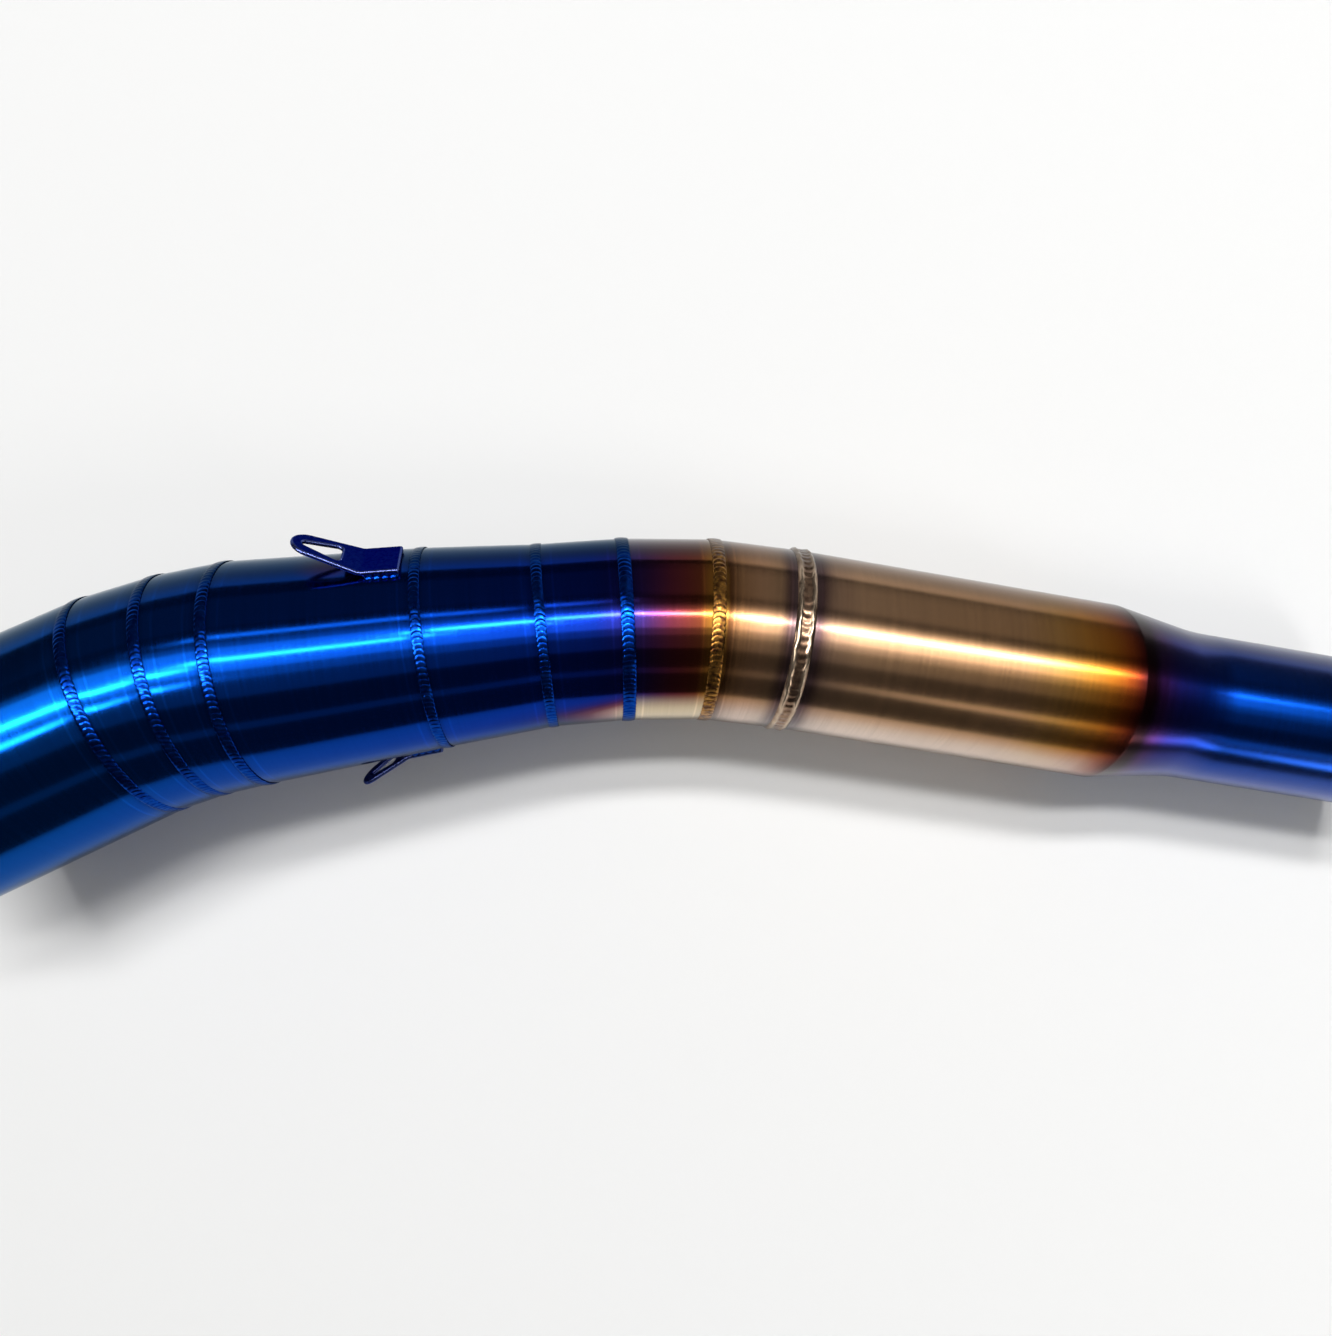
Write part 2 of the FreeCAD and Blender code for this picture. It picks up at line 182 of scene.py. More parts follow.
@dataclass(frozen=True)
class BrushedTitanium:
    """Titanium tube brushed round and round, then tinted by heat along its length.

    The brushing draws fine streaks across the tube and smears each reflection along it. The oxide film gives
    a deep colour that changes with the heat that each stretch took, and pales to grey at the outline. The
    outside of the bend is darkened, a painted shade for the dim surroundings that it mirrors. On the inside
    the colours run ahead, and the inside can be painted lighter and greyer, a painted reflection of the pale
    floor that it mirrors.
    """

    name: str
    stops: tuple[tuple[float, str], ...]
    roughness: tuple[float, float]
    streak_depth: float
    # Darkens the outside of the bend: painted shade
    outside_painted_shade: float
    # Lightens the inside of the bend: painted reflection of the pale floor
    inside_painted_light: float = 1.0
    inside_lead: float = 0.0
    inside_colour: str | None = None
    # Greys the inside of the bend: painted reflection of the pale floor
    inside_painted_saturation: float = 1.0
    # A station past the inlet's mouth, so that the inside's own tint and painted reflection reach all along
    inside_until: float = 1000.0
    inside_fade: float = 14.0
    edge_tint: str = "FFFFFF"
    scorch: Scorch | None = None
    smear: float = 0.6
    tint_drift: float = 1.6
    cloud_size: float = 16.0
    # Real brush lines are near 0.1 mm apart, too fine to show, so these are drawn wider
    streak_width: float = 0.5
    streak_length: float = 60.0
    streak_detail: float = 3.0
    streak_breakup: float = 0.65
    toe_start: float = 1.6
    toe_end: float = 2.6
    toe_shade: float = 0.8
    heat_line: float = 3.9
    heat_line_width: float = 0.5
    heat_line_lift: float = 1.35

    def material(self) -> bpy.types.Material:
        """Builds the finish on the pipe's straightened coordinates.

        Returns:
            The material.
        """
        material, shader = new_metal(
            self.name, {"Anisotropic": self.smear, "Specular Tint": linear(self.edge_tint)})
        tree = material.node_tree
        place = add_node(tree, "ShaderNodeAttribute", {"attribute_name": STRAIGHTENED}, {}).outputs["Vector"]
        gap = add_node(tree, "ShaderNodeAttribute", {"attribute_name": JOINT_GAP}, {}).outputs["Fac"]
        spoke = add_node(tree, "ShaderNodeVectorMath", {"operation": "MULTIPLY"},
                         {0: place, 1: (0.0, 1.0, 1.0)})
        around = add_node(tree, "ShaderNodeVectorMath", {"operation": "NORMALIZE"}, {0: spoke.outputs[0]})
        side = add_node(tree, "ShaderNodeSeparateXYZ", {}, {0: around.outputs[0]}).outputs["Y"]
        streak_size = (1 / self.streak_width, 1 / self.streak_length, 1 / self.streak_length)
        brushed = add_node(tree, "ShaderNodeVectorMath", {"operation": "MULTIPLY"},
                           {0: place, 1: streak_size})
        streak = add_node(tree, "ShaderNodeTexNoise", {}, {
            "Vector": brushed.outputs[0], "Scale": 1.0, "Detail": self.streak_detail,
            "Roughness": self.streak_breakup}).outputs[0]
        inside = self.inside(tree, place, side)
        tint = self.tint(tree, place, inside)
        shade = self.shade(tree, streak, gap, side, inside)
        colour = add_node(tree, "ShaderNodeVectorMath", {"operation": "SCALE"}, {0: tint, "Scale": shade})
        smooth, rough = self.roughness
        blur = add_node(tree, "ShaderNodeMapRange", {}, {
            "Value": streak, "From Min": NOISE_LOW, "From Max": NOISE_HIGH,
            "To Min": smooth, "To Max": rough})
        lay = add_node(tree, "ShaderNodeTangent", {"direction_type": "UV_MAP", "uv_map": ALONG_MAP}, {})
        tree.links.new(colour.outputs[0], shader.inputs["Base Color"])
        tree.links.new(blur.outputs[0], shader.inputs["Roughness"])
        tree.links.new(lay.outputs[0], shader.inputs["Tangent"])
        return material

    def inside(
        self, tree: bpy.types.NodeTree, place: bpy.types.NodeSocket, side: bpy.types.NodeSocket
    ) -> bpy.types.NodeSocket:
        """Adds the nodes that mark the inside of the bend, as far along the pipe as its own tint and painted
        reflection reach.

        Args:
            tree: The material's tree.
            place: Each point's place on the straightened pipe.
            side: From 1 on the outside of the bend to -1 on the inside.

        Returns:
            The socket of the mark, 1 on the inside.
        """
        mark = add_node(tree, "ShaderNodeMapRange", {"interpolation_type": "SMOOTHSTEP"}, {
            "Value": side, "From Min": INSIDE_FROM, "From Max": INSIDE_TO, "To Min": 1.0, "To Max": 0.0})
        station = add_node(tree, "ShaderNodeSeparateXYZ", {}, {0: place}).outputs["X"]
        fade = add_node(tree, "ShaderNodeMapRange", {"interpolation_type": "SMOOTHSTEP"}, {
            "Value": station, "From Min": self.inside_until, "From Max": self.inside_until + self.inside_fade,
            "To Min": 1.0, "To Max": 0.0})
        return add_node(tree, "ShaderNodeMath", {"operation": "MULTIPLY"},
                        {0: mark.outputs[0], 1: fade.outputs[0]}).outputs[0]

    def tint(
        self, tree: bpy.types.NodeTree, place: bpy.types.NodeSocket, inside: bpy.types.NodeSocket
    ) -> bpy.types.NodeSocket:
        """Adds the nodes of the oxide's colour.

        Args:
            tree: The material's tree.
            place: Each point's place on the straightened pipe.
            inside: The mark of the inside of the bend.

        Returns:
            The colour's socket.
        """
        station = add_node(tree, "ShaderNodeSeparateXYZ", {}, {0: place}).outputs["X"]
        cloud = add_node(tree, "ShaderNodeTexNoise", {}, {"Vector": place, "Scale": 1 / self.cloud_size})
        drifted = add_node(tree, "ShaderNodeMath", {"operation": "MULTIPLY_ADD"},
                           {0: cloud.outputs[0], 1: 2 * self.tint_drift, 2: station})
        lead = add_node(tree, "ShaderNodeMath", {"operation": "MULTIPLY"}, {0: inside, 1: self.inside_lead})
        led = add_node(tree, "ShaderNodeMath", {"operation": "ADD"},
                       {0: drifted.outputs[0], 1: lead.outputs[0]})
        first, last = self.stops[0][0], self.stops[-1][0]
        share = add_node(tree, "ShaderNodeMapRange", {}, {
            "Value": led.outputs[0], "From Min": first + self.tint_drift, "From Max": last + self.tint_drift})
        ramp = add_node(tree, "ShaderNodeValToRGB", {}, {"Fac": share.outputs[0]})
        self.fill_ramp(ramp.color_ramp, first, last)
        colour = ramp.outputs["Color"]
        if self.inside_colour is not None:
            colour = add_node(tree, "ShaderNodeMix", {"data_type": "RGBA"}, {
                "Factor": inside, MIX_FIRST: colour,
                MIX_SECOND: linear(self.inside_colour)}).outputs[MIX_RESULT]
        # Painted reflection: the inside of the bend is greyed
        if self.inside_painted_saturation != 1.0:
            strength = add_node(tree, "ShaderNodeMapRange", {}, {
                "Value": inside, "To Min": 1.0, "To Max": self.inside_painted_saturation})
            colour = add_node(tree, "ShaderNodeHueSaturation", {}, {
                "Saturation": strength.outputs[0], "Color": colour}).outputs[0]
        if self.scorch is not None:
            away = add_node(tree, "ShaderNodeVectorMath", {"operation": "DISTANCE"},
                            {0: place, 1: self.scorch.place})
            near = add_node(tree, "ShaderNodeMapRange", {"interpolation_type": "SMOOTHSTEP"}, {
                "Value": away.outputs["Value"], "From Max": self.scorch.reach,
                "To Min": self.scorch.strength, "To Max": 0.0})
            colour = add_node(tree, "ShaderNodeMix", {"data_type": "RGBA"}, {
                "Factor": near.outputs[0], MIX_FIRST: colour,
                MIX_SECOND: linear(self.scorch.colour)}).outputs[MIX_RESULT]
        return colour

    def shade(
        self, tree: bpy.types.NodeTree, streak: bpy.types.NodeSocket, gap: bpy.types.NodeSocket,
        side: bpy.types.NodeSocket, inside: bpy.types.NodeSocket
    ) -> bpy.types.NodeSocket:
        """Adds the nodes that darken and lighten the colour, painted shade and painted reflection among them.

        Args:
            tree: The material's tree.
            streak: The brushing's noise.
            gap: Each point's distance from the nearest joint.
            side: From 1 on the outside of the bend to -1 on the inside.
            inside: The mark of the inside of the bend.

        Returns:
            The socket of the factor on the colour.
        """
        brightness = add_node(tree, "ShaderNodeMapRange", {}, {
            "Value": streak, "From Min": NOISE_LOW, "From Max": NOISE_HIGH,
            "To Min": 1 - self.streak_depth, "To Max": 1 + self.streak_depth})
        toe = add_node(tree, "ShaderNodeMapRange", {"interpolation_type": "SMOOTHSTEP"}, {
            "Value": gap, "From Min": self.toe_start, "From Max": self.toe_end,
            "To Min": self.toe_shade, "To Max": 1.0})
        # Painted shade: the outside of the bend is darkened
        outside = add_node(tree, "ShaderNodeMapRange", {"interpolation_type": "SMOOTHSTEP"}, {
            "Value": side, "From Min": OUTSIDE_FROM, "From Max": OUTSIDE_TO,
            "To Min": 1.0, "To Max": self.outside_painted_shade})
        # Painted reflection: the inside of the bend is lightened
        painted_inside_light = add_node(tree, "ShaderNodeMapRange", {}, {
            "Value": inside, "To Min": 1.0, "To Max": self.inside_painted_light})
        off_line = add_node(tree, "ShaderNodeMath", {"operation": "SUBTRACT"}, {0: gap, 1: self.heat_line})
        from_line = add_node(tree, "ShaderNodeMath", {"operation": "ABSOLUTE"}, {0: off_line.outputs[0]})
        lift = add_node(tree, "ShaderNodeMapRange", {"interpolation_type": "SMOOTHSTEP"}, {
            "Value": from_line.outputs[0], "From Max": self.heat_line_width,
            "To Min": self.heat_line_lift, "To Max": 1.0})
        whole = brightness.outputs[0]
        for factor in (toe, outside, painted_inside_light, lift):
            whole = add_node(tree, "ShaderNodeMath", {"operation": "MULTIPLY"},
                             {0: whole, 1: factor.outputs[0]}).outputs[0]
        return whole

    def fill_ramp(self, ramp: bpy.types.ColorRamp, first: float, last: float) -> None:
        """Puts the tint's stops on a ramp.

        Args:
            ramp: The ramp, which has two stops so far.
            first: The station at which it starts.
            last: The station at which it ends.
        """
        while len(ramp.elements) < len(self.stops):
            ramp.elements.new(1.0)
        for element, (station, colour) in zip(ramp.elements, self.stops):
            element.position = (station - first) / (last - first)
            element.color = linear(colour)


@dataclass(frozen=True)
class WeldTitanium:
    """Titanium weld metal, laid molten, so each scale is smooth and mottled by its own heat.

    Like the tube, it is darkened on the outside of the bend, a painted shade, and the heavy weld's ridges can
    be painted paler, a painted highlight.
    """

    name: str
    dark: str
    pale: str
    roughness: float
    # Colour of a painted highlight along the heavy weld's ridges
    ridge: str | None = None
    edge_tint: str = "FFFFFF"
    # Darkens the outside of the bend: painted shade
    outside_painted_shade: float = 0.35
    mottle_size: float = 1.3
    mottle_detail: float = 2.0
    mottle_low: float = 0.35
    mottle_high: float = 0.65

    def material(self) -> bpy.types.Material:
        """Builds the finish on the place of each point in the frame.

        Returns:
            The material.
        """
        material, shader = new_metal(
            self.name, {"Roughness": self.roughness, "Specular Tint": linear(self.edge_tint)})
        tree = material.node_tree
        place = add_node(tree, "ShaderNodeTexCoord", {}, {}).outputs["Object"]
        mottle = add_node(tree, "ShaderNodeTexNoise", {}, {
            "Vector": place, "Scale": 1 / (self.mottle_size * MM), "Detail": self.mottle_detail})
        tint = add_node(tree, "ShaderNodeValToRGB", {}, {"Fac": mottle.outputs[0]})
        low, high = tint.color_ramp.elements
        low.position, low.color = self.mottle_low, linear(self.dark)
        high.position, high.color = self.mottle_high, linear(self.pale)
        colour = tint.outputs["Color"]
        # Painted highlight along the ridges
        if self.ridge is not None:
            rim_highlight = add_node(tree, "ShaderNodeAttribute", {"attribute_name": RIM_HIGHLIGHT}, {}).outputs["Fac"]
            colour = add_node(tree, "ShaderNodeMix", {"data_type": "RGBA"}, {
                "Factor": rim_highlight, MIX_FIRST: colour, MIX_SECOND: linear(self.ridge)}).outputs[MIX_RESULT]
        side = add_node(tree, "ShaderNodeAttribute", {"attribute_name": BEND_SIDE}, {}).outputs["Fac"]
        # Painted shade: the outside of the bend is darkened
        outside = add_node(tree, "ShaderNodeMapRange", {"interpolation_type": "SMOOTHSTEP"}, {
            "Value": side, "From Min": OUTSIDE_FROM, "From Max": OUTSIDE_TO,
            "To Min": 1.0, "To Max": self.outside_painted_shade})
        shaded = add_node(tree, "ShaderNodeVectorMath", {"operation": "SCALE"},
                          {0: colour, "Scale": outside.outputs[0]})
        tree.links.new(shaded.outputs[0], shader.inputs["Base Color"])
        return material


@dataclass(frozen=True)
class CutPlateTitanium:
    """Titanium plate cut out, tumbled and blued, with a fine grain and a painted highlight along its eased
    edges.
    """

    name: str
    dark: str
    pale: str
    # Colour of the painted highlight along the eased edges
    rim_highlight: str
    edge_tint: str
    roughness: float
    unevenness: float = 0.08
    # Real tumbled grain is near 0.1 mm, too fine to show, so it is drawn coarser
    grain: float = 0.8
    grain_detail: float = 4.0

    def material(self) -> bpy.types.Material:
        """Builds the finish on the place of each point in the frame.

        Returns:
            The material.
        """
        material, shader = new_metal(self.name, {"Specular Tint": linear(self.edge_tint)})
        tree = material.node_tree
        place = add_node(tree, "ShaderNodeTexCoord", {}, {}).outputs["Object"]
        cloud = add_node(tree, "ShaderNodeTexNoise", {}, {
            "Vector": place, "Scale": 1 / (self.grain * MM), "Detail": self.grain_detail})
        tint = add_node(tree, "ShaderNodeValToRGB", {}, {"Fac": cloud.outputs[0]})
        low, high = tint.color_ramp.elements
        low.position, low.color = NOISE_LOW, linear(self.dark)
        high.position, high.color = NOISE_HIGH, linear(self.pale)
        # Painted highlight: the eased edges are paler
        edge = add_node(tree, "ShaderNodeAttribute", {"attribute_name": RIM_HIGHLIGHT}, {}).outputs["Fac"]
        painted_edge_highlight = add_node(tree, "ShaderNodeMix", {"data_type": "RGBA"}, {
            "Factor": edge, MIX_FIRST: tint.outputs["Color"], MIX_SECOND: linear(self.rim_highlight)})
        blur = add_node(tree, "ShaderNodeMapRange", {}, {
            "Value": cloud.outputs[0], "To Min": self.roughness - self.unevenness,
            "To Max": self.roughness + self.unevenness})
        tree.links.new(painted_edge_highlight.outputs[MIX_RESULT], shader.inputs["Base Color"])
        tree.links.new(blur.outputs[0], shader.inputs["Roughness"])
        return material


def add_piece(
    mesh: bpy.types.Mesh, name: str, node: str, material: bpy.types.Material
) -> None:
    """Puts a finished mesh into the scene as a piece of the pipe.

    Args:
        mesh: The piece's mesh, in the row frame.
        name: The piece's name.
        node: The CAD node that it stands for.
        material: Its finish.
    """
    mesh.name = name
    mesh.materials.clear()
    mesh.materials.append(material)
    piece = bpy.data.objects.new(name, mesh)
    bpy.context.scene.collection.objects.link(piece)
    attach(piece, BODY)
    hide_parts(node)
    LOG.info("%s: %d faces, %s", name, len(mesh.polygons), material.name)


def evaluated_mesh(carrier: bpy.types.Object) -> bpy.types.Mesh:
    """Turns an object with live modifiers into a plain mesh and removes the object.

    Args:
        carrier: The object that carries the modifiers.

    Returns:
        Its mesh with the modifiers applied.
    """
    depsgraph = bpy.context.evaluated_depsgraph_get()
    mesh = bpy.data.meshes.new_from_object(carrier.evaluated_get(depsgraph))
    bpy.data.objects.remove(carrier)
    return mesh


@dataclass(frozen=True)
class TubePiece:
    """A piece of tube between two ends, straight or tapered."""

    node: str
    slot: Slot
    length: float
    start_radius: float
    end_radius: float
    turn_after: float = 0.0
    fine_reach: float = 6.0
    joint_step: float = 0.25
    coarse_step: float = 2.0

    def shift_reach(self) -> float:
        """How far from a mitred end its slant is still felt by the rows."""
        return self.length / 2

    def row_places(self) -> np.ndarray:
        """Lays out the wall's rows, closest near the joints.

        Returns:
            Their places along the axis.
        """
        near = np.arange(0.0, self.fine_reach, self.joint_step)
        count = max(2, math.ceil((self.length - 2 * self.fine_reach) / self.coarse_step) + 1)
        middle = np.linspace(self.fine_reach, self.length - self.fine_reach, count)
        return np.concatenate([near, middle, self.length - near[::-1]])

    def radius_at(self, places: np.ndarray) -> np.ndarray:
        """Outside radius at places along the axis."""
        return self.start_radius + (self.end_radius - self.start_radius) * places / self.length

    def slope(self) -> float:
        """How fast the radius grows along the axis at a mitred end."""
        return (self.end_radius - self.start_radius) / self.length


@dataclass(frozen=True)
class SwagedTube(TubePiece):
    """The inlet's tube, whose far end is swaged down over a crease to a neck."""

    straight: float = field(kw_only=True)
    swage: float = field(kw_only=True)
    crease_radius: float = 3.0
    neck_radius: float = 60.0
    crease_step: float = 1 / 12
    neck_step: float = 0.5

    def arcs(self) -> tuple[float, float, float, float]:
        """Works out the two arcs that round the swage's corners.

        Returns:
            Where the crease's arc starts and ends, then where the neck's arc does.
        """
        fall = math.atan((self.start_radius - self.end_radius) / self.swage)
        crease_start = self.straight - self.crease_radius * math.tan(fall / 2)
        crease_end = crease_start + self.crease_radius * math.sin(fall)
        neck_end = self.straight + self.swage + self.neck_radius * math.tan(fall / 2)
        neck_start = neck_end - self.neck_radius * math.sin(fall)
        return crease_start, crease_end, neck_start, neck_end

    def shift_reach(self) -> float:
        """How far from the mitred end its slant is still felt by the rows."""
        return self.arcs()[0]

    def row_places(self) -> np.ndarray:
        """Lays out the wall's rows, closest near the joint and in the arcs.

        Returns:
            Their places along the axis.
        """
        crease_start, crease_end, neck_start, neck_end = self.arcs()
        near = np.arange(0.0, self.fine_reach, self.joint_step)
        mouth = [self.length - 2 * self.joint_step, self.length - self.joint_step, self.length]
        spans = [
            (self.fine_reach, crease_start, self.coarse_step),
            (crease_start, crease_end, self.crease_step),
            (crease_end, neck_start, self.coarse_step),
            (neck_start, neck_end, self.neck_step),
            (neck_end, mouth[0], self.coarse_step),
        ]
        rows = [near]
        for start, end, step in spans:
            rows.append(np.linspace(start, end, max(2, math.ceil((end - start) / step)), endpoint=False))
        return np.concatenate(rows + [np.array(mouth)])

    def radius_at(self, places: np.ndarray) -> np.ndarray:
        """Works out the outside radius, with both corners of the swage rounded.

        Args:
            places: Places along the axis.

        Returns:
            The radius at each.
        """
        crease_start, crease_end, neck_start, neck_end = self.arcs()
        corners = [0.0, self.straight, self.straight + self.swage, self.length]
        radii = [self.start_radius, self.start_radius, self.end_radius, self.end_radius]
        straight = np.interp(places, corners, radii)
        from_crease = np.clip(places - crease_start, 0, self.crease_radius)
        crease = self.start_radius - self.crease_radius + np.sqrt(self.crease_radius ** 2 - from_crease ** 2)
        to_neck = np.clip(neck_end - places, 0, self.neck_radius)
        neck = self.end_radius + self.neck_radius - np.sqrt(self.neck_radius ** 2 - to_neck ** 2)
        in_crease = (places > crease_start) & (places < crease_end)
        in_neck = (places > neck_start) & (places < neck_end)
        return np.where(in_crease, crease, np.where(in_neck, neck, straight))

    def slope(self) -> float:
        """How fast the radius grows along the axis at the mitred end."""
        return 0.0


@dataclass(frozen=True)
class PipeSizes:
    """Driving sizes of the pipe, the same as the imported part's."""

    outlet_radius: float = 30.25
    step_radius: float = 27.5
    middle_radius: float = 25.4
    inlet_radius: float = 21.35
    wall: float = 1.0
    outlet_tube: float = 54.0
    first_mitre: float = 15.5
    second_mitre: float = 14.5
    large_taper: float = 49.0
    small_taper: float = 30.0
    blue_mitre: float = 22.0
    plum_mitre: float = 23.5
    bronze_mitre: float = 22.5
    inlet_straight: float = 92.0
    swage: float = 24.0
    neck: float = 73.0

    def pieces(self) -> list[TubePiece]:
        """Lists the pieces of tube.

        Returns:
            The pieces, from the outlet to the inlet.
        """
        wide, step, middle = self.outlet_radius, self.step_radius, self.middle_radius
        inlet_length = self.inlet_straight + self.swage + self.neck
        return [
            TubePiece("outlet_tube", Slot.BLUED, self.outlet_tube, wide, wide, turn_after=7.0),
            TubePiece("outlet_mitre_1", Slot.BLUED, self.first_mitre, wide, wide, turn_after=6.5),
            TubePiece("outlet_mitre_2", Slot.BLUED, self.second_mitre, wide, wide, turn_after=4.5),
            TubePiece("large_taper", Slot.BLUED, self.large_taper, wide, step, turn_after=1.5),
            TubePiece("small_taper", Slot.BLUED, self.small_taper, step, middle, turn_after=2.0),
            TubePiece("bend_mitre_1", Slot.BLUED, self.blue_mitre, middle, middle, turn_after=4.5),
            TubePiece("bend_mitre_2", Slot.PLUM, self.plum_mitre, middle, middle, turn_after=7.0),
            TubePiece("bend_mitre_3", Slot.BRONZE, self.bronze_mitre, middle, middle, turn_after=2.5),
            SwagedTube("inlet_tube", Slot.BRONZE, inlet_length, middle, self.inlet_radius,
                       straight=self.inlet_straight, swage=self.swage),
        ]


@dataclass
class Centreline:
    """The pipe's centreline in the row frame, laid from the outlet's mouth."""

    sizes: PipeSizes
    pieces: list[TubePiece] = field(init=False)
    up: Vector = field(init=False)
    points: list[Vector] = field(init=False, default_factory=list)
    directions: list[Vector] = field(init=False, default_factory=list)
    normals: list[Vector] = field(init=False, default_factory=list)
    stations: list[float] = field(init=False, default_factory=list)

    def __post_init__(self) -> None:
        """Lays the corner points, directions, end planes and stations."""
        self.pieces = self.sizes.pieces()
        mounts = {mount["name"]: mount for mount in frame["record"]["mounts"]}
        outlet, inlet = mounts["outlet_bore"], mounts["inlet_bore"]
        out_of_mouth = Vector(outlet["axis"]).normalized()
        self.up = Vector(inlet["axis"]).cross(-out_of_mouth).normalized()
        point = Vector(outlet["pos_m"]) / MM + out_of_mouth * (self.sizes.outlet_tube / 2)
        direction = -out_of_mouth
        station = 0.0
        for piece in self.pieces:
            self.points.append(point)
            self.directions.append(direction)
            self.stations.append(station)
            point = point + direction * piece.length
            direction = Matrix.Rotation(-math.radians(piece.turn_after), 3, self.up) @ direction
            station += piece.length
        self.points.append(point)
        self.stations.append(station)
        halves = [(a + b).normalized() for a, b in zip(self.directions, self.directions[1:])]
        self.normals = [self.directions[0]] + halves + [self.directions[-1]]

    def outside(self, direction: Vector) -> Vector:
        """The way to the outside of the bend, square to a direction along the pipe."""
        return self.up.cross(direction)


def closed_grid_mesh(grid: np.ndarray, sharp_rows: set[int]) -> bpy.types.Mesh:
    """Makes a closed smooth mesh from rings of points.

    Args:
        grid: Points in millimetres, as rings, points in a ring and coordinates. Both ways wrap round.
        sharp_rows: The rings along which the surface has a corner.

    Returns:
        A mesh in metres.
    """
    rows, around, _ = grid.shape
    here = np.arange(rows * around).reshape(rows, around)
    beside = np.roll(here, -1, axis=1)
    faces = np.stack([here, beside, np.roll(beside, -1, axis=0), np.roll(here, -1, axis=0)], axis=-1)
    mesh = bpy.data.meshes.new("wall")
    mesh.from_pydata((grid.reshape(-1, 3) * MM).tolist(), [], faces.reshape(-1, 4).tolist())
    mesh.shade_smooth()
    for edge in mesh.edges:
        first, second = (vertex // around for vertex in edge.vertices)
        edge.use_edge_sharp = first == second and first in sharp_rows
    return mesh


def write_point_values(mesh: bpy.types.Mesh, name: str, values: np.ndarray) -> None:
    """Stores one number for each point of a mesh."""
    attribute = mesh.attributes.new(name, "FLOAT", "POINT")
    attribute.data.foreach_set("value", np.ascontiguousarray(values, dtype=np.float32).ravel())


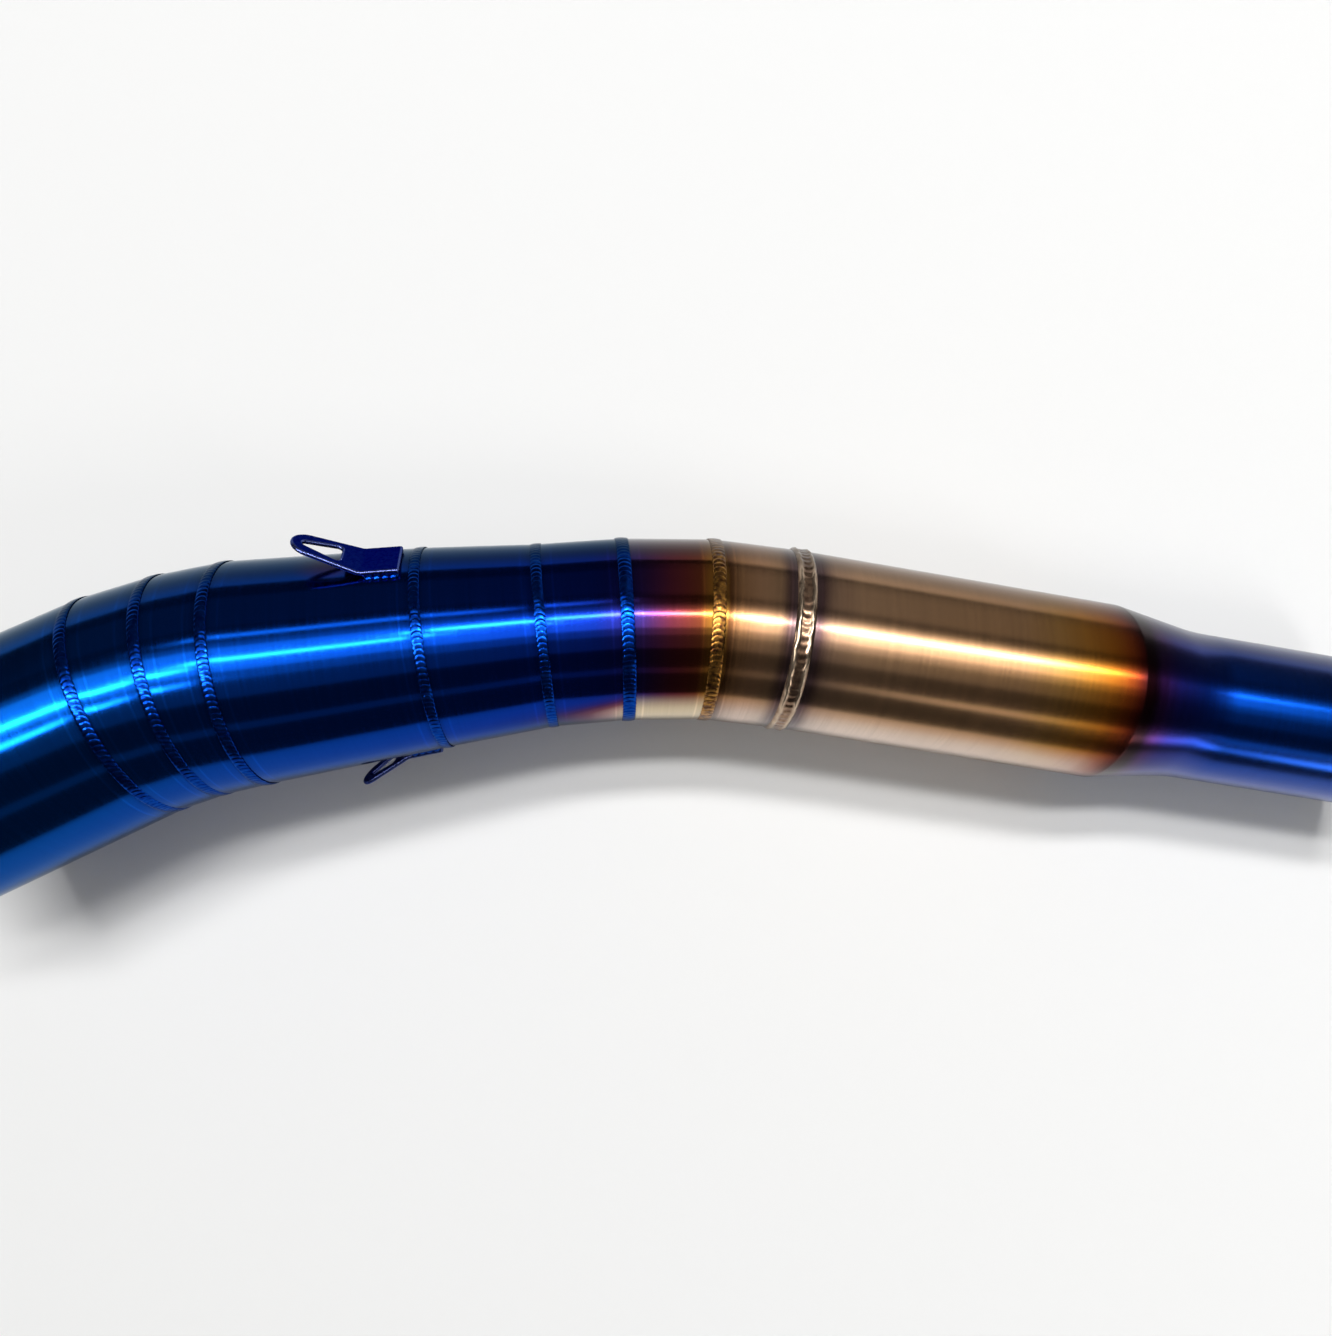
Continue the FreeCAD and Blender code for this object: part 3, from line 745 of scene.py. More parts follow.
@dataclass
class TubeWall:
    """The visible wall of one piece of tube: outside, inside and both ends."""

    line: Centreline
    index: int
    around: int = 192
    edge_break: float = 0.25
    weld_draw: float = 0.07
    draw_reach: float = 2.6

    def ends_welded(self) -> tuple[bool, bool]:
        """Whether the piece's start and its end are welded joints."""
        return self.index > 0, self.index < len(self.line.pieces) - 1

    def gaps(self, places: np.ndarray, joints: tuple[bool, bool]) -> np.ndarray:
        """Measures how far places along the axis are from the nearest of the chosen ends.

        Args:
            places: The places.
            joints: Whether the start and the end count.

        Returns:
            The distance from each place.
        """
        length = self.line.pieces[self.index].length
        far = np.full_like(places, 2 * length)
        from_start = places if joints[0] else far
        from_end = length - places if joints[1] else far
        return np.minimum(from_start, from_end)

    def slant(self, radials: np.ndarray, end: int, radius: float) -> np.ndarray:
        """Works out how far each line along the wall runs past the square end to meet the end's plane.

        Args:
            radials: The way out from the axis for each line.
            end: 0 for the start and 1 for the end.
            radius: The wall's radius at that end.

        Returns:
            The distance along the axis for each line.
        """
        direction = np.array(self.line.directions[self.index])
        normal = np.array(self.line.normals[self.index + end])
        lean = radials @ normal
        slope = self.line.pieces[self.index].slope() if end == 0 or self.ends_welded()[1] else 0.0
        return -radius * lean / (direction @ normal + slope * lean)

    def shell(self, radials: np.ndarray, loss: float) -> tuple[np.ndarray, np.ndarray, np.ndarray]:
        """Rings of one side of the wall.

        Args:
            radials: The way out from the axis for each point of a ring.
            loss: How far inside the outer surface this side lies.

        Returns:
            The rings' points, their places along the axis and each point's radius.
        """
        piece = self.line.pieces[self.index]
        places = piece.row_places()
        reach = piece.shift_reach()
        start_share = np.clip(1 - places / reach, 0, 1)[:, None]
        end_share = np.clip(1 - (piece.length - places) / reach, 0, 1)[:, None]
        start_slant = self.slant(radials, 0, piece.start_radius - loss)[None, :]
        end_slant = self.slant(radials, 1, piece.end_radius - loss)[None, :]
        along = places[:, None] + start_share * start_slant + end_share * end_slant
        welded = self.ends_welded()
        draw = self.weld_draw * np.exp(-(self.gaps(places, welded) / self.draw_reach) ** 2)
        mouths = (not welded[0], not welded[1])
        chamfer = np.clip(self.edge_break - self.gaps(places, mouths), 0, None)
        eased = chamfer if loss == 0 else -chamfer
        radius = piece.radius_at(along) - loss - draw[:, None] - eased[:, None]
        start = np.array(self.line.points[self.index])
        direction = np.array(self.line.directions[self.index])
        rings = start + along[..., None] * direction + radius[..., None] * radials[None, :, :]
        return rings, places, radius

    def build(self) -> bpy.types.Mesh:
        """Builds the closed wall, with its map along the pipe and its straightened coordinates.

        Returns:
            The wall's mesh.
        """
        direction = self.line.directions[self.index]
        outside, up = np.array(self.line.outside(direction)), np.array(self.line.up)
        angles = np.arange(self.around) * 2 * math.pi / self.around
        radials = np.cos(angles)[:, None] * outside + np.sin(angles)[:, None] * up
        outer, places, outer_radius = self.shell(radials, 0.0)
        inner, _, inner_radius = self.shell(radials, self.line.sizes.wall)
        count = len(places)
        grid = np.concatenate([outer, inner[::-1]])
        mesh = closed_grid_mesh(grid, {0, count - 1, count, 2 * count - 1})
        stations = self.line.stations[self.index] + np.concatenate([places, places[::-1]])
        radius = np.concatenate([outer_radius, inner_radius[::-1]])
        straight = np.stack([np.broadcast_to(stations[:, None], radius.shape),
                             radius * np.cos(angles), radius * np.sin(angles)], axis=-1)
        gap = self.gaps(np.concatenate([places, places[::-1]]), self.ends_welded())
        self.write_attributes(mesh, straight, np.broadcast_to(gap[:, None], radius.shape))
        self.write_map(mesh, stations)
        return mesh

    def write_attributes(self, mesh: bpy.types.Mesh, straight: np.ndarray, gap: np.ndarray) -> None:
        """Stores what the finish needs to know of each point.

        Args:
            mesh: The wall's mesh.
            straight: Each point's place on the straightened pipe.
            gap: Its distance from the nearest joint.
        """
        place = mesh.attributes.new(STRAIGHTENED, "FLOAT_VECTOR", "POINT")
        place.data.foreach_set("vector", straight.astype(np.float32).ravel())
        write_point_values(mesh, JOINT_GAP, gap)

    def write_map(self, mesh: bpy.types.Mesh, stations: np.ndarray) -> None:
        """Lays a map whose first way runs along the pipe and whose second runs round it.

        Args:
            mesh: The wall's mesh.
            stations: The station of each of its rows.
        """
        along = stations / self.line.stations[-1]
        following = np.roll(along, -1)
        turn = np.arange(self.around) / self.around
        step = 1 / self.around
        corners = []
        for rows, extra in ((along, 0.0), (along, step), (following, step), (following, 0.0)):
            first = np.broadcast_to(rows[:, None], (len(rows), self.around))
            second = np.broadcast_to(turn[None, :] + extra, (len(rows), self.around))
            corners.append(np.stack([first, second], axis=-1))
        layout = mesh.uv_layers.new(name=ALONG_MAP)
        layout.uv.foreach_set("vector", np.stack(corners, axis=2).astype(np.float32).ravel())


@dataclass(frozen=True)
class WeldRun:
    """A run of overlapping weld scales, each the frozen edge of one drop of metal."""

    pitch: float
    scale_length: float
    width: float
    height: float
    rise: float
    lean: float = 2.5
    variation: float = 0.02
    jitter: float = 0.008


class WeldTree:
    """Geometry Nodes tree that lays weld scales along a path of edges."""

    FLOATS = ("Scale Length", "Scale Width", "Scale Height", "Lean", "Variation", "Jitter")
    SEGMENTS = 12
    RINGS = 6

    def __init__(self) -> None:
        """Builds the tree, with named inputs for the sizes of the run."""
        self.tree = bpy.data.node_groups.new("weld run", "GeometryNodeTree")
        self.identifiers: dict[str, str] = {}
        self.add_input("Path", "NodeSocketGeometry")
        self.add_input("Count", "NodeSocketInt")
        self.add_input("Seed", "NodeSocketInt")
        self.add_input("Centre", "NodeSocketVector")
        for title in self.FLOATS:
            self.add_input(title, "NodeSocketFloat")
        self.add_input("Finish", "NodeSocketMaterial")
        self.tree.interface.new_socket("Weld", in_out="OUTPUT", socket_type="NodeSocketGeometry")
        self.lay_scales()

    def add_input(self, title: str, kind: str) -> None:
        """Adds a named input and keeps its identifier."""
        socket = self.tree.interface.new_socket(title, in_out="INPUT", socket_type=kind)
        self.identifiers[title] = socket.identifier

    def lay_scales(self) -> None:
        """Places a flattened ball at each step of the path, leaning back on the one before it."""
        tree = self.tree
        given = add_node(tree, "NodeGroupInput", {}, {}).outputs
        curve = add_node(tree, "GeometryNodeMeshToCurve", {}, {"Mesh": given["Path"]})
        steps = add_node(tree, "GeometryNodeCurveToPoints", {"mode": "COUNT"},
                         {"Curve": curve.outputs[0], "Count": given["Count"]})
        back = add_node(tree, "ShaderNodeMath", {"operation": "MULTIPLY"}, {0: given["Jitter"], 1: -1.0})
        wander = add_node(tree, "FunctionNodeRandomValue", {"data_type": "FLOAT_VECTOR"},
                          {"Min": back.outputs[0], "Max": given["Jitter"], "Seed": given["Seed"]})
        places = add_node(tree, "GeometryNodeSetPosition", {},
                          {"Geometry": steps.outputs["Points"], "Offset": wander.outputs[0]})
        position = add_node(tree, "GeometryNodeInputPosition", {}, {})
        outward = add_node(tree, "ShaderNodeVectorMath", {"operation": "SUBTRACT"},
                           {0: position.outputs[0], 1: given["Centre"]})
        facing = add_node(tree, "FunctionNodeAxesToRotation", {"primary_axis": "X", "secondary_axis": "Y"},
                          {0: outward.outputs[0], 1: steps.outputs["Tangent"]})
        tip = add_node(tree, "ShaderNodeCombineXYZ", {}, {"Z": given["Lean"]})
        tip_turn = add_node(tree, "FunctionNodeEulerToRotation", {}, {0: tip.outputs[0]})
        leaning = add_node(tree, "FunctionNodeRotateRotation", {"rotation_space": "LOCAL"},
                           {0: facing.outputs[0], 1: tip_turn.outputs[0]})
        ball = add_node(tree, "GeometryNodeMeshUVSphere", {},
                        {"Segments": self.SEGMENTS, "Rings": self.RINGS})
        half_length = add_node(tree, "ShaderNodeMath", {"operation": "MULTIPLY"},
                               {0: given["Scale Length"], 1: 0.5})
        half_width = add_node(tree, "ShaderNodeMath", {"operation": "MULTIPLY"},
                              {0: given["Scale Width"], 1: 0.5})
        spread = add_node(tree, "ShaderNodeCombineXYZ", {}, {
            "X": given["Scale Height"], "Y": half_length.outputs[0], "Z": half_width.outputs[0]})
        scale = add_node(tree, "GeometryNodeTransform", {},
                         {"Geometry": ball.outputs[0], "Scale": spread.outputs[0]})
        least = add_node(tree, "ShaderNodeMath", {"operation": "SUBTRACT"}, {0: 1.0, 1: given["Variation"]})
        vary = add_node(tree, "FunctionNodeRandomValue", {"data_type": "FLOAT_VECTOR"},
                        {"Min": least.outputs[0], "Max": (1.0, 1.0, 1.0), "Seed": given["Seed"]})
        laid = add_node(tree, "GeometryNodeInstanceOnPoints", {}, {
            "Points": places.outputs[0], "Instance": scale.outputs[0],
            "Rotation": leaning.outputs[0], "Scale": vary.outputs[0]})
        real = add_node(tree, "GeometryNodeRealizeInstances", {}, {0: laid.outputs[0]})
        smooth = add_node(tree, "GeometryNodeSetShadeSmooth", {}, {0: real.outputs[0]})
        dressed = add_node(tree, "GeometryNodeSetMaterial", {},
                           {"Geometry": smooth.outputs[0], "Material": given["Finish"]})
        add_node(tree, "NodeGroupOutput", {}, {0: dressed.outputs[0]})

    def lay(
        self, path: list[Vector], closed: bool, centre: Vector, run: WeldRun, seed: int,
        finish: bpy.types.Material
    ) -> bpy.types.Mesh:
        """Lays one run along a path.

        Args:
            path: Points of the path in millimetres.
            closed: Whether the path is a ring.
            centre: The point in millimetres that the scales bulge away from.
            run: The run's sizes.
            seed: Seed of its unevenness.
            finish: The weld's material.

        Returns:
            The run as a plain mesh in metres.
        """
        ends = path[1:] + path[:1] if closed else path[1:]
        length = sum((end - start).length for start, end in zip(path, ends))
        edges = [(i, (i + 1) % len(path)) for i in range(len(ends))]
        mesh = bpy.data.meshes.new("weld path")
        mesh.from_pydata([point * MM for point in path], edges, [])
        carrier = bpy.data.objects.new("weld path", mesh)
        bpy.context.scene.collection.objects.link(carrier)
        modifier = carrier.modifiers.new("weld run", "NODES")
        modifier.node_group = self.tree
        values = {
            "Count": max(2, round(length / run.pitch)),
            "Seed": seed,
            "Centre": centre * MM,
            "Scale Length": run.scale_length * MM,
            "Scale Width": run.width * MM,
            "Scale Height": run.height * MM,
            "Lean": math.radians(run.lean),
            "Variation": run.variation,
            "Jitter": run.jitter * MM,
            "Finish": finish,
        }
        for title, value in values.items():
            modifier[self.identifiers[title]] = value
        return evaluated_mesh(carrier)


@dataclass
class RingWeld:
    """The weld round one joint, a single run of scales."""

    line: Centreline
    joint: int
    run: WeldRun
    path_points: int = 240
    seed_step: int = 10

    def build(self, tree: WeldTree, finish: bpy.types.Material) -> bpy.types.Mesh:
        """Lays the scales round the joint.

        Args:
            tree: The tree that lays them.
            finish: The weld's material.

        Returns:
            The weld's mesh, which knows its side of the bend.
        """
        normal = self.line.normals[self.joint]
        radius = self.line.pieces[self.joint - 1].end_radius + self.run.rise
        outside = self.line.outside(normal)
        centre = self.line.points[self.joint]
        turns = [2 * math.pi * step / self.path_points for step in range(self.path_points)]
        spokes = [outside * math.cos(turn) + self.line.up * math.sin(turn) for turn in turns]
        path = [centre + spoke * radius for spoke in spokes]
        mesh = tree.lay(path, True, centre, self.run, self.seed_step * self.joint, finish)
        sides = [(vertex.co / MM - centre).normalized().dot(outside) for vertex in mesh.vertices]
        write_point_values(mesh, BEND_SIDE, np.array(sides))
        return mesh


@dataclass
class RidgedWeld:
    """The heavy weld before the long tube, drawn up to a smooth ridge along each edge."""

    line: Centreline
    joint: int
    half_width: float = 2.6
    ridge_place: float = 1.72
    ridge_spread: float = 0.52
    ridge_rise: float = 0.36
    middle_height: float = 0.36
    crown_power: int = 4
    sunk: float = 0.3
    ripple_pitch: float = 2.3
    ripple_height: float = 0.05
    ripple_bow: float = 0.3
    wander: float = 0.13
    unevenness: float = 0.16
    waves: int = 9
    shortest_wave: int = 46
    longest_wave: int = 5
    rows: int = 720
    section_points: int = 30
    seed: int = 8

    def waviness(self, angles: np.ndarray, source: np.random.Generator) -> np.ndarray:
        """Makes a smooth unevenness that closes round the ring.

        Args:
            angles: The ring's angles.
            source: Where the random draws come from.

        Returns:
            A number at each angle, mostly between -1 and 1.
        """
        counts = source.integers(self.longest_wave, self.shortest_wave, self.waves)
        phases = source.uniform(0, 2 * math.pi, self.waves)
        return np.cos(angles[:, None] * counts + phases).sum(axis=1) / math.sqrt(self.waves)

    def ridges(self, angles: np.ndarray, across: np.ndarray) -> np.ndarray:
        """Draws the two wavy ridges.

        Args:
            angles: Angles round the joint.
            across: Places across the band.

        Returns:
            The ridges' height as a share of their rise, by angle and place.
        """
        source = np.random.default_rng(self.seed)
        ridges = np.zeros((self.rows, self.section_points))
        for place in (self.ridge_place, -self.ridge_place):
            middle = place + self.wander * self.waviness(angles, source)
            strength = 1 + self.unevenness * self.waviness(angles, source)
            away = (across[None, :] - middle[:, None]) / self.ridge_spread
            ridges += strength[:, None] * np.exp(-away ** 2)
        return ridges

    def build(self) -> bpy.types.Mesh:
        """Builds the weld as one closed band.

        Returns:
            The weld's mesh, which marks its ridges for their painted highlight and knows its side of the
            bend.
        """
        angles = np.arange(self.rows) * 2 * math.pi / self.rows
        across = np.linspace(self.half_width, -self.half_width, self.section_points)
        ridges = self.ridges(angles, across)
        radius = self.line.pieces[self.joint - 1].end_radius
        ripples = round(2 * math.pi * radius / self.ripple_pitch)
        bow = self.ripple_bow * across[None, :] ** 2
        phase = ripples * angles[:, None] + bow * 2 * math.pi / self.ripple_pitch
        ripple = self.ripple_height * np.cos(phase)
        crown = 1 - (np.abs(across) / self.half_width) ** self.crown_power
        height = self.middle_height * crown[None, :] + self.ridge_rise * ridges
        height = height + ripple * (crown[None, :] - np.clip(ridges, 0, 1)).clip(0)
        under = np.full((self.rows, 2), -self.sunk)
        height = np.concatenate([height, under], axis=1)
        places = np.concatenate([across, [-self.half_width, self.half_width]])
        mesh = closed_grid_mesh(self.rings(angles, places, radius + height), set())
        # Marks the ridges for their painted highlight
        write_point_values(mesh, RIM_HIGHLIGHT, np.concatenate([np.clip(ridges, 0, 1), np.zeros_like(under)], axis=1))
        write_point_values(mesh, BEND_SIDE, np.repeat(np.cos(angles), len(places)))
        return mesh

    def rings(self, angles: np.ndarray, places: np.ndarray, radii: np.ndarray) -> np.ndarray:
        """Points of the band.

        Args:
            angles: Angles round the joint.
            places: Places across the band.
            radii: Distance from the axis, by angle and place.

        Returns:
            The points, by angle and place.
        """
        normal = np.array(self.line.normals[self.joint])
        outside = np.array(self.line.outside(self.line.normals[self.joint]))
        spokes = np.cos(angles)[:, None] * outside + np.sin(angles)[:, None] * np.array(self.line.up)
        middle = np.array(self.line.points[self.joint]) + places[:, None] * normal
        return middle[None, :, :] + radii[..., None] * spokes[:, None, :]


@dataclass
class SpringHook:
    """A spring hook on the large taper, with the fillet welds that hold its foot."""

    line: Centreline
    side: str
    angle: float
    taper_index: int = 3
    foot_length: float = 9.0
    width: float = 13.0
    to_joint: float = 3.0
    edge_round: float = 0.56
    round_steps: int = 4
    merge_reach: float = 0.005
    flat_angle: float = 1.5
    bevel_angle: float = 35.0
    fillet: WeldRun = WeldRun(pitch=1.5, scale_length=2.6, width=2.7, height=1.15, rise=0.0, lean=8.0)
    fillet_radius: float = 1.5
    fillet_depth: float = 150.0
    fillet_seed: int = 100

    def plate(self) -> bpy.types.Mesh:
        """Eases the cut edges of the hook's own shape.

        Returns:
            The plate's mesh, which marks its eased edges for their painted highlight.
        """
        mesh = frame["nodes"][f"{self.side}_spring_hook"].data.copy()
        shape = bmesh.new()
        shape.from_mesh(mesh)
        bmesh.ops.remove_doubles(shape, verts=shape.verts, dist=self.merge_reach * MM)
        bmesh.ops.dissolve_limit(shape, angle_limit=math.radians(self.flat_angle),
                                 verts=shape.verts, edges=shape.edges)
        shape.to_mesh(mesh)
        shape.free()
        mesh.shade_smooth()
        mesh.materials.clear()
        markers = [bpy.data.materials.new(face.name) for face in PlateFace]
        for marker in markers:
            mesh.materials.append(marker)
        carrier = bpy.data.objects.new("hook plate", mesh)
        bpy.context.scene.collection.objects.link(carrier)
        bevel = carrier.modifiers.new("eased edges", "BEVEL")
        bevel.width = self.edge_round * MM
        bevel.segments = self.round_steps
        bevel.material = PlateFace.EASED.value
        bevel.use_clamp_overlap = False
        bevel.limit_method = "ANGLE"
        bevel.angle_limit = math.radians(self.bevel_angle)
        carrier.modifiers.new("flat faces", "WEIGHTED_NORMAL")
        plate = evaluated_mesh(carrier)
        # Marks the eased edges for their painted highlight
        rim_highlights = np.ones(len(plate.vertices))
        for face in plate.polygons:
            if face.material_index == PlateFace.FLAT.value:
                rim_highlights[list(face.vertices)] = 0.0
            face.material_index = 0
        for marker in markers:
            bpy.data.materials.remove(marker)
        write_point_values(plate, RIM_HIGHLIGHT, rim_highlights)
        return plate

    def foot_frame(self) -> tuple[Vector, Vector, Vector, Vector]:
        """Finds where the foot lies on the taper.

        Returns:
            The middle of the foot, and the ways along the taper, across the foot and out of it.
        """
        taper = self.line.pieces[self.taper_index]
        station = taper.length - self.to_joint - self.foot_length / 2
        direction = self.line.directions[self.taper_index]
        turn = math.radians(self.angle)
        radial = self.line.outside(direction) * math.cos(turn) + self.line.up * math.sin(turn)
        fall = -math.atan(taper.slope())
        along = direction * math.cos(fall) - radial * math.sin(fall)
        outward = radial * math.cos(fall) + direction * math.sin(fall)
        radius = float(taper.radius_at(np.array(station)))
        middle = self.line.points[self.taper_index] + direction * station + radial * radius
        return middle, along, outward.cross(along), outward

    def fillet_weld(self, tree: WeldTree, edge: Edge, finish: bpy.types.Material) -> bpy.types.Mesh:
        """Lays the weld along one edge of the foot.

        Args:
            tree: The tree that lays its scales.
            edge: The edge.
            finish: The weld's material.

        Returns:
            The weld's mesh.
        """
        middle, along, across, outward = self.foot_frame()
        taper = self.line.pieces[self.taper_index]
        radius = float(taper.radius_at(np.array(taper.length - self.to_joint)))
        sag = radius - math.sqrt(radius ** 2 - self.width ** 2 / 4)
        corner = middle + across * (edge.value * self.width / 2) - outward * sag
        half_run = self.foot_length / 2 - self.fillet_radius
        path = [corner - along * half_run, corner, corner + along * half_run]
        slanting_out = (across * edge.value + outward).normalized()
        under = corner - slanting_out * self.fillet_depth
        return tree.lay(path, False, under, self.fillet, self.fillet_seed + edge.value, finish)


@dataclass(frozen=True)
class SoftBox:
    """A flat studio lamp over the pipe, long along X.

    Its tilt is from straight overhead towards +Y, and its shift is along X.
    """

    name: str
    tilt: float
    distance: float
    length: float
    width: float
    radiance: float
    shift: float = 0.0
    reach: Reach = Reach.METAL

    def add(self) -> None:
        """Hangs the lamp."""
        lamp = bpy.data.lights.new(self.name, "AREA")
        lamp.shape = "RECTANGLE"
        lamp.size = self.length * MM
        lamp.size_y = self.width * MM
        lamp.energy = self.radiance * math.pi * lamp.size * lamp.size_y
        turn = math.radians(self.tilt)
        hung = bpy.data.objects.new(self.name, lamp)
        aside, above = self.distance * math.sin(turn), self.distance * math.cos(turn)
        hung.location = Vector((self.shift, aside, above)) * MM
        hung.rotation_euler = (-turn, 0.0, 0.0)
        hung.visible_camera = False
        hung.visible_glossy = self.reach is not Reach.FLOOR
        hung.visible_diffuse = self.reach is not Reach.METAL
        bpy.context.scene.collection.objects.link(hung)


@dataclass(frozen=True)
class Studio:
    """Floor, lamps and camera."""

    floor_size: float = 4000.0
    floor_colour: str = "F7F7F6"
    floor_roughness: float = 0.9
    floor_shine: float = 0.2
    world_radiance: float = 0.06
    lamps: tuple[SoftBox, ...] = (
        SoftBox("overhead strip, left", tilt=4.0, distance=890.0, length=850.0, width=46.0, radiance=52.0,
                shift=-875.0),
        SoftBox("overhead strip, middle", tilt=9.0, distance=900.0, length=350.0, width=40.0, radiance=42.0,
                shift=-275.0),
        SoftBox("overhead strip, bend", tilt=14.5, distance=900.0, length=280.0, width=34.0, radiance=70.0,
                shift=40.0),
        SoftBox("overhead strip, right", tilt=13.0, distance=900.0, length=720.0, width=34.0, radiance=32.0,
                shift=540.0),
        SoftBox("second strip", tilt=30.0, distance=930.0, length=530.0, width=50.0, radiance=4.0,
                shift=-285.0),
        SoftBox("second strip, left", tilt=-9.0, distance=930.0, length=800.0, width=55.0, radiance=30.0,
                shift=-850.0),
        SoftBox("inner glow", tilt=9.0, distance=950.0, length=2000.0, width=360.0, radiance=2.0),
        SoftBox("outer glow", tilt=7.0, distance=1000.0, length=2200.0, width=620.0, radiance=0.5),
        SoftBox("back panel", tilt=57.0, distance=1200.0, length=2600.0, width=700.0, radiance=0.04),
        SoftBox("back panel, right", tilt=60.0, distance=1190.0, length=1200.0, width=1000.0, radiance=0.18,
                shift=700.0),
        SoftBox("front strip", tilt=-54.0, distance=900.0, length=2000.0, width=110.0, radiance=0.14),
        SoftBox("front strip, middle", tilt=-54.0, distance=890.0, length=640.0, width=110.0, radiance=0.9,
                shift=520.0),
        SoftBox("front strip, right", tilt=-70.0, distance=880.0, length=560.0, width=110.0, radiance=8.0,
                shift=920.0),
        SoftBox("ceiling", tilt=0.0, distance=1300.0, length=2600.0, width=1300.0, radiance=0.2,
                reach=Reach.ALL),
        SoftBox("high floor lamp", tilt=22.0, distance=3500.0, length=2000.0, width=300.0, radiance=28.0,
                reach=Reach.FLOOR),
        SoftBox("low floor lamp", tilt=33.0, distance=3500.0, length=2000.0, width=300.0, radiance=32.5,
                reach=Reach.FLOOR),
        SoftBox("front floor lamp", tilt=-40.0, distance=900.0, length=300.0, width=300.0, radiance=8.0,
                shift=700.0, reach=Reach.FLOOR),
    )
    eye: tuple[float, float, float] = (-24.995, -1.985, 266.082)
    target: tuple[float, float, float] = (-10.677, 10.568, 27.0)
    roll: float = 0.85
    focal_pixels: float = 850.0
    frame_width_pixels: float = 1332.0
    sensor: float = 36.0
    nearest_seen: float = 10.0

    def add_floor(self) -> None:
        """Lays a plain pale floor under the pipe."""
        half = self.floor_size / 2 * MM
        mesh = bpy.data.meshes.new("floor")
        corners = [(-half, -half, 0), (half, -half, 0), (half, half, 0), (-half, half, 0)]
        mesh.from_pydata(corners, [], [(0, 1, 2, 3)])
        # Painted board scatters light evenly, so it shows soft shadows and hardly any shine
        material = bpy.data.materials.new("matt white board")
        material.use_nodes = True
        shader = material.node_tree.nodes["Principled BSDF"]
        shader.inputs["Base Color"].default_value = linear(self.floor_colour)
        shader.inputs["Roughness"].default_value = self.floor_roughness
        shader.inputs["Specular IOR Level"].default_value = self.floor_shine
        mesh.materials.append(material)
        floor = bpy.data.objects.new("floor", mesh)
        bpy.context.scene.collection.objects.link(floor)

    def add_world(self) -> None:
        """Sets dim surroundings, so that the metal has dark to mirror."""
        world = bpy.data.worlds.new("dim room")
        world.use_nodes = True
        background = world.node_tree.nodes["Background"]
        grey = self.world_radiance
        background.inputs["Color"].default_value = (grey, grey, grey, 1.0)
        bpy.context.scene.world = world

    def add_camera(self) -> None:
        """Sets the camera nearly straight above the pipe."""
        data = bpy.data.cameras.new("camera")
        data.sensor_fit = "HORIZONTAL"
        data.sensor_width = self.sensor
        data.lens = self.focal_pixels / self.frame_width_pixels * self.sensor
        data.clip_start = self.nearest_seen * MM
        eye, target = Vector(self.eye), Vector(self.target)
        forward = (target - eye).normalized()
        level = (Vector((1, 0, 0)) - forward * forward.x).normalized()
        below = forward.cross(level)
        turn = math.radians(self.roll)
        right = level * math.cos(turn) + below * math.sin(turn)
        upward = level * math.sin(turn) - below * math.cos(turn)
        camera = bpy.data.objects.new("camera", data)
        turned = Matrix((right, upward, -forward)).transposed().to_4x4()
        camera.matrix_world = Matrix.Translation(eye * MM) @ turned
        bpy.context.scene.collection.objects.link(camera)
        bpy.context.scene.camera = camera

    def build(self) -> None:
        """Sets up the whole studio."""
        bpy.context.scene.view_settings.view_transform = "Standard"
        self.add_floor()
        self.add_world()
        for lamp in self.lamps:
            lamp.add()
        self.add_camera()


# The thickest even oxide, a deep blue that goes to plum and cream along the inside of the bend
BLUED = BrushedTitanium(
    "brushed titanium, heat-blued",
    (
        (0.0, "044897"), (50.0, "044295"), (84.0, "043A93"), (133.0, "043491"), (163.0, "062C8D"),
        (177.0, "0C2682"), (185.0, "20206E"), (191.0, "40204C"), (197.0, "6A3C48"), (203.0, "A07C74"),
        (208.0, "C0A890"), (213.0, "C4B294"),
    ),
    roughness=(0.12, 0.18), streak_depth=0.05, outside_painted_shade=0.2, inside_lead=24.0, edge_tint="CCDAE4",
    scorch=Scorch((112.0, 23.2, 16.9), reach=11.0, colour="6A2228", strength=0.8))
# A thinner oxide, so dark that away from the highlight it is close to black
PLUM = BrushedTitanium(
    "brushed titanium, heat-tinted plum",
    (
        (185.0, "20206E"), (187.5, "2E2262"), (191.0, "40204C"), (196.0, "5A2434"), (200.0, "642A28"),
        (203.5, "6A3420"), (206.0, "8A5A24"), (208.5, "C08C3C"),
    ),
    roughness=(0.12, 0.17), streak_depth=0.05, outside_painted_shade=0.32, inside_colour="C4B294")
# Coarser brushing under the thinnest oxide, a warm sheen that turns gold, then dark, then blue at the neck
BRONZE = BrushedTitanium(
    "brushed titanium, heat-tinted bronze to blue",
    (
        (208.5, "C08C3C"), (211.0, "5E3A20"), (214.0, "9A704C"), (219.0, "AC8260"), (224.0, "A07C5C"),
        (227.0, "564040"), (231.0, "6A5A58"), (235.0, "564040"), (238.5, "A28066"), (246.0, "B48E6C"),
        (290.0, "B0865E"), (300.0, "AE8048"), (307.0, "AC7430"), (314.0, "9C5C1C"), (318.5, "823C14"),
        (321.5, "561E10"), (323.5, "280C10"), (326.0, "200A18"), (329.0, "381A50"), (334.0, "20206E"),
        (342.0, "0A2A82"), (352.0, "04368E"), (420.0, "043E92"),
    ),
    # The inside is painted lighter and greyer short of the neck, a painted reflection of the pale floor
    roughness=(0.2, 0.24), streak_depth=0.08, outside_painted_shade=0.38, inside_painted_light=1.3,
    inside_painted_saturation=0.5, inside_until=312.0)
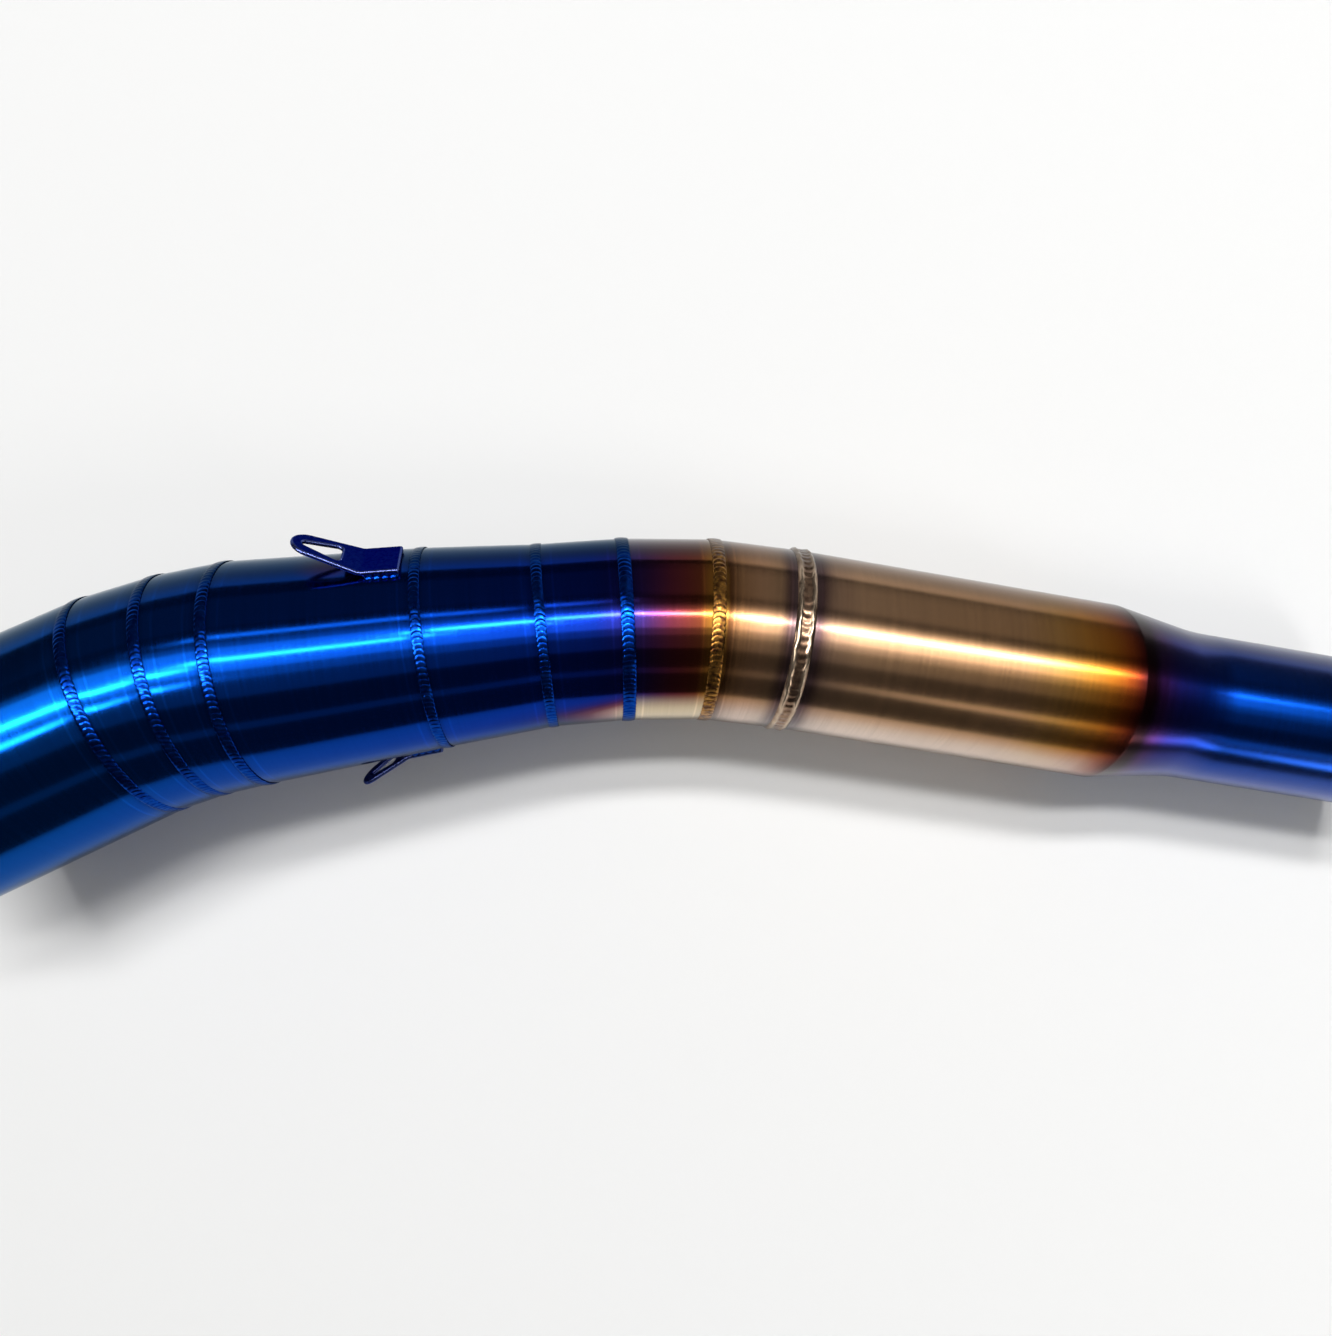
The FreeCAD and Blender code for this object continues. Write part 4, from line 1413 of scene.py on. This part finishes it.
# Ripples that took the tube's blue, and sparkle where they cross the highlight
BLUE_WELD = WeldTitanium("titanium weld, blued", "03267A", "083E9C", roughness=0.16, edge_tint="C0CCD6",
                         outside_painted_shade=0.2)
# Ripples between plum and bronze, brown away from the light and gold in it
GOLD_WELD = WeldTitanium("titanium weld, straw gold", "50301A", "A87838", roughness=0.24)
# Thick metal that took little tint, brownish silver with a painted highlight along its ridges
SILVER_WELD = WeldTitanium("titanium weld, silvery straw", "6A5040", "927660", roughness=0.25, ridge="C0AA92")
# Dull dark navy faces, with a thin painted highlight along each edge
NAVY_PLATE = CutPlateTitanium("tumbled titanium plate, heat-blued", "141C50", "1C2660", rim_highlight="4E588C",
                              edge_tint="9AA2BC", roughness=0.28)

# Real ripples are near 1 mm apart, and these are drawn a little wider so that each one shows
NARROW_RUN = WeldRun(pitch=1.5, scale_length=3.6, width=2.9, height=0.2, rise=0.05)
BEND_RUN = WeldRun(pitch=1.6, scale_length=4.2, width=3.7, height=0.26, rise=0.06)


def build_tubes(line: Centreline) -> None:
    """Builds and dresses every piece of tube.

    Args:
        line: The pipe's centreline.
    """
    finishes = {Slot.BLUED: BLUED.material(), Slot.PLUM: PLUM.material(), Slot.BRONZE: BRONZE.material()}
    for index, piece in enumerate(line.pieces):
        mesh = TubeWall(line, index).build()
        add_piece(mesh, f"{piece.node}_wall", piece.node, finishes[piece.slot])


def build_welds(line: Centreline, tree: WeldTree, blue: bpy.types.Material) -> None:
    """Builds and dresses the weld round each joint.

    Args:
        line: The pipe's centreline.
        tree: The tree that lays weld scales.
        blue: The finish of the blue welds.
    """
    gold, silver = GOLD_WELD.material(), SILVER_WELD.material()
    wide_after = {
        "bend_mitre_1": (BEND_RUN, Slot.BLUED_WELD, blue),
        "bend_mitre_2": (BEND_RUN, Slot.STRAW_WELD, gold),
    }
    heavy = len(line.pieces) - 1
    for joint, piece in enumerate(line.pieces[:heavy - 1], start=1):
        run, slot, finish = wide_after.get(piece.node, (NARROW_RUN, Slot.BLUED_WELD, blue))
        mesh = RingWeld(line, joint, run).build(tree, finish)
        add_piece(mesh, f"weld_{joint}_bead", f"weld_{joint}", finish)
    mesh = RidgedWeld(line, heavy).build()
    add_piece(mesh, f"weld_{heavy}_bead", f"weld_{heavy}", silver)


def build_hooks(line: Centreline, tree: WeldTree, blue: bpy.types.Material) -> None:
    """Builds and dresses both spring hooks and their fillet welds.

    Args:
        line: The pipe's centreline.
        tree: The tree that lays weld scales.
        blue: The finish of the blue welds.
    """
    navy = NAVY_PLATE.material()
    for hook in (SpringHook(line, "outer", angle=44.0), SpringHook(line, "inner", angle=210.0)):
        node = f"{hook.side}_spring_hook"
        add_piece(hook.plate(), f"{node}_plate", node, navy)
        for edge in Edge:
            node = f"{hook.side}_hook_weld_{edge.name.lower()}"
            mesh = hook.fillet_weld(tree, edge, blue)
            add_piece(mesh, f"{node}_run", node, blue)


def main() -> None:
    """Builds the pipe piece by piece, then the studio round it."""
    logging.basicConfig(level=logging.INFO, format="%(name)s: %(message)s")
    line = Centreline(PipeSizes())
    tree = WeldTree()
    blue = BLUE_WELD.material()
    build_tubes(line)
    build_welds(line, tree, blue)
    build_hooks(line, tree, blue)
    Studio().build()


if __name__ == "__main__":
    main()
